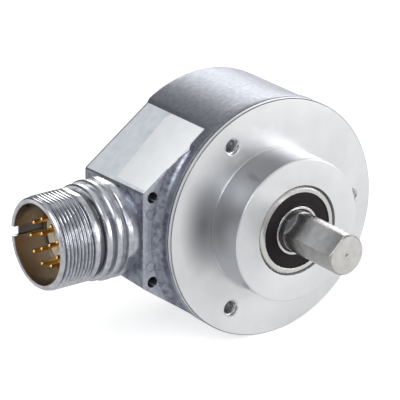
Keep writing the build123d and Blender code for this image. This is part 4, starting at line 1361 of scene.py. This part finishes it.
@dataclass
class Plug:
    """Round connector: cast shell with thread, rings and wrench ring, insert and contacts."""

    axis_y: float = 18.5
    rim_x: float = -55.7
    face_x: float = -34.4
    thread_r: float = 11.5
    root_r: float = 10.72
    thread_from: float = 0.75
    thread_to: float = 9.1
    pitch: float = 1.0
    flat_z: float = 11.1
    mouth_r: float = 9.9
    mouth_depth: float = 8.9
    key_width: float = 2.4
    key_open: float = 2.0
    key_deep: float = 8.5
    key_r: float = 10.45
    key_clear: float = 14.0
    wrench_half: float = 12.0
    insert_r: float = 9.2
    insert_len: float = 9.0
    pin_r: float = 0.5
    pin_proud: float = 7.1
    pin_tail: float = 1.0
    outer_pins: int = 9
    outer_r: float = 5.8
    inner_pins: int = 3
    inner_r: float = 2.2
    columns: int = 288

    def outline(self) -> list[Point]:
        """Outer outline as (distance from the rim, radius) points, without flats."""
        points = [
            (0.0, self.mouth_r + 0.18), (0.0, 10.95), (0.55, 11.38), (0.8, self.root_r), (9.1, self.root_r),
            (9.2, 11.1), (9.35, 11.5), (10.55, 11.5), (11.0, 10.45), (12.25, 10.45), (12.45, 11.5),
            (12.75, 11.9), (13.75, 11.9), (14.05, 11.6), (14.3, 10.95), (14.95, 10.95), (15.1, 12.0),
            (15.4, 12.35), (16.3, 12.35), (16.65, 12.05), (16.95, 11.1), (18.05, 11.1), (18.15, 12.1),
            (18.35, 12.3), (19.55, 12.3), (19.75, 12.05), (19.85, 11.75), (21.0, 11.75), (21.3, 11.75),
        ]
        return soften(points, 0.12, sharp=(28,))

    def radius_at(self, u: float, r: float, angles: np.ndarray) -> np.ndarray:
        """Radius at a distance from the rim, with the thread's flats and the wrench flats cut in.

        Args:
            u: Distance from the rim.
            r: Radius of the turned form there.
            angles: Angles about the connector axis, from +Y towards +Z.

        Returns:
            Radius at each angle.
        """
        radius = np.full_like(angles, r)
        if u < 10.7:
            flat = self.flat_z / np.maximum(np.abs(np.sin(angles)), 1e-6)
            radius = np.minimum(radius, flat)
        if 18.0 < u < 19.9:
            turn = (angles - math.radians(30.0) + math.pi / 6) % (math.pi / 3) - math.pi / 6
            radius = np.minimum(radius, self.wrench_half / np.cos(turn))
        return radius

    def plug_row(self, x: float, radius: object, angles: np.ndarray) -> np.ndarray:
        """Row of points about the connector axis."""
        r = np.broadcast_to(np.asarray(radius, float), angles.shape)
        return np.stack([np.full_like(angles, x), self.axis_y + r * np.cos(angles), r * np.sin(angles)], 1)

    def shell(self) -> bpy.types.Object:
        """Skin the shell from the mouth floor over the rim to the block face and back inside."""
        angles = np.linspace(0.0, 2 * math.pi, self.columns, endpoint=False)
        rows = []
        floor = self.rim_x + self.mouth_depth
        inside = [(self.face_x, 7.8), (floor + 9.0, 7.8), (floor + 9.0, self.insert_r + 0.02),
                  (floor, self.insert_r + 0.02), (floor, self.mouth_r)]
        for x, r in inside:
            rows.append(self.plug_row(x, r, angles))
        for x in np.linspace(floor, self.rim_x + 0.12, 6)[1:]:
            rows.append(self.plug_row(x, self.mouth_r, angles))
        for u, r in self.outline():
            rows.append(self.plug_row(self.rim_x + u, self.radius_at(u, r, angles), angles))
        rows.append(rows[0])
        bm = bmesh.new()
        skin(bm, rows)
        return finish_mesh(bm, "connector_shell_cast", 30.0)

    def key_cutter(self, depth: float, reach: float) -> bpy.types.Object:
        """Cutter of the coding slot.

        Args:
            depth: How far it runs in from the rim.
            reach: How far it reaches out from the connector axis.

        Returns:
            The cutter.
        """
        half = self.key_width / 2
        low = (self.rim_x - 1.0, self.axis_y + 9.0, -half)
        return box_mesh("key_cutter", low, (self.rim_x + depth, self.axis_y + reach, half))

    def thread(self, material: bpy.types.Material) -> bpy.types.Object:
        """Grow the coupling thread: a grid wrapped round the axis, its radius a helix cut by flats.

        Args:
            material: Finish of the thread.

        Returns:
            The closed ring that carries the thread.
        """
        tree = Growth("coupling_thread")
        length = tree.size("Length", (self.thread_to - self.thread_from) * MM)
        start = tree.size("Start", (self.rim_x + self.thread_from) * MM)
        pitch = tree.size("Pitch", self.pitch * MM)
        crest = tree.size("Crest Radius", self.thread_r * MM)
        root = tree.size("Root Radius", (self.root_r - 0.03) * MM)
        inner = tree.size("Inner Radius", (self.root_r - 0.3) * MM)
        flat = tree.size("Flat Height", self.flat_z * MM)
        axis = tree.size("Axis Y", self.axis_y * MM)
        fade = tree.size("Run Out", 0.55 * MM)
        steps = round((self.thread_to - self.thread_from) / self.pitch * 14)
        grid = tree.add("GeometryNodeMeshGrid", {
            "Size X": length, "Size Y": 2 * math.pi, "Vertices X": steps, "Vertices Y": self.columns + 1})
        place = tree.add("ShaderNodeSeparateXYZ", {0: tree.add("GeometryNodeInputPosition").outputs[0]})
        u = tree.calc("ADD", place.outputs[0], tree.calc("MULTIPLY", length, 0.5))
        turn = place.outputs[1]
        phase = tree.calc("ADD", tree.calc("DIVIDE", u, pitch), tree.calc("DIVIDE", turn, 2 * math.pi))
        wave = tree.calc("MULTIPLY", tree.calc("PINGPONG", phase, 0.5), 2.0)
        ridge = tree.calc("MINIMUM", tree.calc("MULTIPLY", wave, 1.22), 1.0)
        near = tree.calc("MINIMUM", tree.calc("DIVIDE", u, fade), 1.0)
        far = tree.calc("MINIMUM", tree.calc("DIVIDE", tree.calc("SUBTRACT", length, u), fade), 1.0)
        height = tree.calc("MULTIPLY", ridge, tree.calc("MULTIPLY", near, far))
        raised = tree.calc("ADD", root, tree.calc("MULTIPLY", tree.calc("SUBTRACT", crest, root), height))
        sine = tree.calc("MAXIMUM", tree.calc("ABSOLUTE", tree.calc("SINE", turn)), 0.01)
        cut = tree.calc("MINIMUM", raised, tree.calc("DIVIDE", flat, sine))
        edge = tree.calc("MINIMUM", u, tree.calc("SUBTRACT", length, u))
        is_end = tree.calc("LESS_THAN", edge, 0.02 * MM)
        drop = tree.calc("MULTIPLY", is_end, tree.calc("SUBTRACT", cut, inner))
        radius = tree.calc("SUBTRACT", cut, drop)
        x = tree.calc("ADD", start, u)
        y = tree.calc("ADD", axis, tree.calc("MULTIPLY", radius, tree.calc("COSINE", turn)))
        z = tree.calc("MULTIPLY", radius, tree.calc("SINE", turn))
        wrapped = tree.add("GeometryNodeSetPosition", {
            "Geometry": grid.outputs[0],
            "Position": tree.add("ShaderNodeCombineXYZ", {0: x, 1: y, 2: z}).outputs[0]})
        welded = tree.add("GeometryNodeMergeByDistance", {"Geometry": wrapped.outputs[0], "Distance": 1e-6})
        return close_rings(tree.finish(welded.outputs[0], "coupling_thread_turns", material), 45.0)

    def pin_mesh(self) -> bpy.types.Object:
        """One contact about the X axis, its shoulder at x = 0, with a rounded tip and a solder tail."""
        r, tip, tail = self.pin_r, -self.pin_proud, self.insert_len + self.pin_tail
        outline = [(tip + r - r * math.cos(a), r * math.sin(a)) for a in np.linspace(0.0, math.pi / 2, 9)]
        outline += [(-0.5, r), (0.0, r), (tail, r), (tail, 0.0)]
        angles = np.linspace(0.0, 2 * math.pi, 28, endpoint=False)
        rows = []
        for x, radius in outline:
            if radius < TINY:
                rows.append(np.array([[x, 0.0, 0.0]]))
            else:
                y, z = radius * np.cos(angles), radius * np.sin(angles)
                rows.append(np.stack([np.full_like(angles, x), y, z], 1))
        bm = bmesh.new()
        skin(bm, rows)
        return finish_mesh(bm, "contact_pin", 50.0)

    def pins(self, material: bpy.types.Material) -> bpy.types.Object:
        """Set the contact on its outer and inner circle.

        Args:
            material: Finish of the contacts.

        Returns:
            One object with all the contacts.
        """
        source = self.pin_mesh()
        tree = Growth("contact_circles")
        outer_r = tree.size("Outer Circle", self.outer_r * MM)
        inner_r = tree.size("Inner Circle", self.inner_r * MM)
        outer_n = tree.size("Outer Count", self.outer_pins, "NodeSocketInt")
        inner_n = tree.size("Inner Count", self.inner_pins, "NodeSocketInt")
        pin = tree.add("GeometryNodeObjectInfo", {"Object": source})
        circles = tree.add("GeometryNodeJoinGeometry")
        for radius, count, turn in ((outer_r, outer_n, 0.0), (inner_r, inner_n, math.pi / 3)):
            ring = tree.add("GeometryNodeMeshCircle", {"Vertices": count, "Radius": radius})
            turned = tree.add("GeometryNodeTransform", {
                "Geometry": ring.outputs[0], "Rotation": (0.0, 0.0, turn)})
            tree.tree.links.new(turned.outputs[0], circles.inputs[0])
        upright = tree.add("GeometryNodeTransform", {
            "Geometry": circles.outputs[0], "Rotation": (math.pi / 2, 0.0, math.pi / 2),
            "Translation": ((self.rim_x + self.mouth_depth) * MM, self.axis_y * MM, 0.0)})
        spots = tree.add("GeometryNodeInstanceOnPoints", {
            "Points": upright.outputs[0], "Instance": pin.outputs["Geometry"]})
        result = tree.finish(spots.outputs[0], "contact_pins_gold", material)
        bpy.data.objects.remove(source)
        return close_rings(result, 50.0)

    def insert(self) -> bpy.types.Object:
        """Insulating body: sunk face with a raised rim."""
        angles = np.linspace(0.0, 2 * math.pi, 120, endpoint=False)
        x = self.rim_x + self.mouth_depth
        back = x + self.insert_len
        outline = [(x + 0.35, 0.0), (x + 0.35, 7.2), (x, 7.5), (x, self.insert_r - 0.15),
                   (x + 0.15, self.insert_r), (back, self.insert_r), (back, 0.0)]
        rows = []
        for px, r in outline:
            rows.append(np.array([[px, self.axis_y, 0.0]]) if r < TINY else self.plug_row(px, r, angles))
        bm = bmesh.new()
        skin(bm, rows)
        return finish_mesh(bm, "contact_insert_moulded", 30.0)

    def build(self, finishes: Finishes) -> None:
        """Build and settle the connector.

        Args:
            finishes: Finishes of the encoder.
        """
        metal = finishes.plug.material()
        shell = self.shell()
        deep = self.key_cutter(self.key_deep, self.key_r)
        carve(shell, [self.key_cutter(self.key_open, self.key_clear), deep], sharp_deg=30.0)
        settle(dress(shell, metal), STATOR, "nickel_casting", "connector_shell")
        slot = self.key_cutter(self.key_open, self.key_clear)
        thread = carve(self.thread(metal), [slot], sharp_deg=45.0)
        settle(dress(thread, metal), STATOR, "nickel_casting")
        insert = dress(self.insert(), finishes.insert.material())
        settle(insert, STATOR, "insert_plastic", "connector_insert")
        settle(self.pins(finishes.gold.material()), STATOR, "gold_contact", "connector_pins")


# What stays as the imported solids


@dataclass
class InnerWorks:
    """The solids that keep their own shape and get a finish only."""

    finish_of: dict[str, str] = field(default_factory=lambda: {
        "housing_seal": "rubber", "connector_seal": "rubber", "rear_bearing_seals": "rubber",
        "rear_bearing_outer_ring": "ring", "rear_bearing_inner_ring": "ring",
        "front_bearing_balls": "ball", "rear_bearing_balls": "ball",
        "front_bearing_cage": "polyamide", "rear_bearing_cage": "polyamide",
        "preload_spring": "dark_steel_and_shade", "shaft_clip": "dark_steel_and_shade", "disc_hub": "brass", "code_disc": "nickel",
        "disc_clamp_ring": "flange", "disc_screws": "zinced", "board_screws": "zinced",
        "light_holder": "black", "light_source": "lens", "sensor_chip": "chip", "driver_chips": "chip",
        "main_board": "board", "terminal_board": "board", "board_standoffs": "brass",
        "board_capacitors": "zinced", "flex_socket": "insert", "signal_flex": "film",
    })

    def build(self, finishes: Finishes) -> None:
        """Dress the solids.

        Args:
            finishes: Finishes of the encoder.
        """
        made: dict[str, bpy.types.Material] = {}
        for node, finish in self.finish_of.items():
            if finish not in made:
                made[finish] = getattr(finishes, finish).material()
            dress(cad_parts[node], made[finish])
            LOG.info("solid %s dressed as %s", node, finish)


# The studio


@dataclass
class Camera:
    """Camera at the photograph's viewpoint, from its place, angles and focal length in pixels."""

    place_mm: tuple[float, float, float] = (-454.12, -593.125, 300.77)
    yaw_deg: float = 36.104
    pitch_deg: float = -21.640
    roll_deg: float = 0.386
    focal_px: float = 3341.55
    frame_px: float = 400.0
    sensor_mm: float = 36.0

    def build(self) -> None:
        """Make the camera and set it as the scene's."""
        yaw, pitch, roll = (math.radians(a) for a in (self.yaw_deg, self.pitch_deg, self.roll_deg))
        ahead = Vector((math.sin(yaw) * math.cos(pitch), math.cos(yaw) * math.cos(pitch), math.sin(pitch)))
        right = ahead.cross(Vector((0.0, 0.0, 1.0))).normalized()
        up = right.cross(ahead)
        x = right * math.cos(roll) + up * math.sin(roll)
        y = up * math.cos(roll) - right * math.sin(roll)
        data = bpy.data.cameras.new("view")
        data.sensor_width = self.sensor_mm
        data.lens = self.focal_px / self.frame_px * self.sensor_mm
        data.clip_start, data.clip_end = 0.05, 20.0
        camera = bpy.data.objects.new("view", data)
        matrix = Matrix((x, y, -ahead)).transposed().to_4x4()
        matrix.translation = Vector(self.place_mm) * MM
        camera.matrix_world = matrix
        bpy.context.scene.collection.objects.link(camera)
        bpy.context.scene.camera = camera


@dataclass(frozen=True)
class Lamp:
    """A soft rectangular lamp aimed at the object."""

    name: str
    place: tuple[float, float, float]
    size: tuple[float, float]
    power: float
    tint: Colour = (1.0, 1.0, 1.0)

    def build(self, target: Vector) -> None:
        """Make the lamp, facing the target.

        Args:
            target: Point that it faces.
        """
        data = bpy.data.lights.new(self.name, "AREA")
        data.shape = "RECTANGLE"
        data.size, data.size_y = self.size
        data.energy = self.power
        data.color = self.tint
        lamp = bpy.data.objects.new(self.name, data)
        lamp.location = Vector(self.place)
        lamp.rotation_mode = "QUATERNION"
        lamp.rotation_quaternion = (target - lamp.location).to_track_quat("-Z", "Y")
        bpy.context.scene.collection.objects.link(lamp)


@dataclass
class Studio:
    """Pale floor, white surround and soft lamps."""

    floor_z: float = -0.03002
    floor_size: float = 8.0
    floor_white: float = 0.55
    glow_seen: float = 0.72
    glow_mirrored: float = 0.28
    bright_side: tuple[float, float, float] = (0.62, -0.62, 0.48)
    world_dim: float = 0.10
    world_bright: float = 0.75
    world_from: float = -0.7
    world_to: float = 0.9
    floor_rough: float = 0.9
    target: tuple[float, float, float] = (-0.012, 0.005, 0.0)
    lamps: tuple[Lamp, ...] = (
        Lamp("soft_back_right", (0.80, 0.95, 0.52), (0.95, 0.50), 4.2, (1.0, 0.99, 0.97)),
        Lamp("soft_front_right", (1.02, -0.82, 0.34), (1.00, 0.60), 10.0),
        Lamp("soft_left_above", (-0.92, -0.22, 0.80), (0.60, 0.60), 8.0, (0.96, 0.98, 1.0)),
    )

    def world(self) -> None:
        """Soft surround, brighter towards one side, as a room with a large window of light."""
        world = bpy.data.worlds.new("studio")
        bpy.context.scene.world = world
        world.use_nodes = True
        tree = world.node_tree
        tree.nodes.clear()
        out = tree.nodes.new("ShaderNodeOutputWorld")
        light = tree.nodes.new("ShaderNodeBackground")
        coords = tree.nodes.new("ShaderNodeTexCoord")
        toward = tree.nodes.new("ShaderNodeVectorMath")
        toward.operation = "DOT_PRODUCT"
        toward.inputs[1].default_value = self.bright_side
        ramp = tree.nodes.new("ShaderNodeMapRange")
        ramp.interpolation_type = "SMOOTHSTEP"
        for name, value in (("From Min", self.world_from), ("From Max", self.world_to),
                            ("To Min", self.world_dim), ("To Max", self.world_bright)):
            ramp.inputs[name].default_value = value
        tree.links.new(coords.outputs["Generated"], toward.inputs[0])
        tree.links.new(toward.outputs["Value"], ramp.inputs["Value"])
        tree.links.new(ramp.outputs[0], light.inputs["Strength"])
        tree.links.new(light.outputs[0], out.inputs["Surface"])

    def floor(self) -> None:
        """Pale floor that shows white to the camera and keeps the object's shadow."""
        bm = bmesh.new()
        bmesh.ops.create_grid(bm, x_segments=1, y_segments=1, size=self.floor_size / 2)
        for vert in bm.verts:
            vert.co.z = self.floor_z
        mesh = bpy.data.meshes.new("floor")
        bm.to_mesh(mesh)
        bm.free()
        floor = bpy.data.objects.new("floor", mesh)
        bpy.context.scene.collection.objects.link(floor)
        shader = Shader("pale_floor")
        shader.bsdf.inputs["Base Color"].default_value = (self.floor_white,) * 3 + (1.0,)
        shader.bsdf.inputs["Roughness"].default_value = self.floor_rough
        shader.bsdf.inputs["Specular IOR Level"].default_value = 0.0
        lift = shader.add("ShaderNodeLightPath")
        shader.bsdf.inputs["Emission Color"].default_value = (1.0, 1.0, 1.0, 1.0)
        mirrored = shader.math("MAXIMUM", lift.outputs["Is Glossy Ray"], lift.outputs["Is Transmission Ray"])
        glow = shader.math("MULTIPLY", mirrored, self.glow_mirrored)
        seen = shader.math("MULTIPLY", lift.outputs["Is Camera Ray"], self.glow_seen)
        shader.link(shader.math("MAXIMUM", glow, seen), shader.bsdf.inputs["Emission Strength"])
        dress(floor, shader.material)

    def build(self) -> None:
        """Make the surround, the floor and the lamps."""
        self.world()
        self.floor()
        for lamp in self.lamps:
            lamp.build(Vector(self.target))
        bpy.context.scene.view_settings.view_transform = "Standard"


def main() -> None:
    """Build the camera, the studio and every sub-assembly in order."""
    logging.basicConfig(level=logging.INFO, format="%(message)s")
    Camera().build()
    Studio().build()
    finishes = Finishes()
    for assembly in (Flange(), Housing(), ShaftEnd(), FrontBearing(), Plug(), InnerWorks()):
        assembly.build(finishes)


if __name__ == "__main__":
    main()
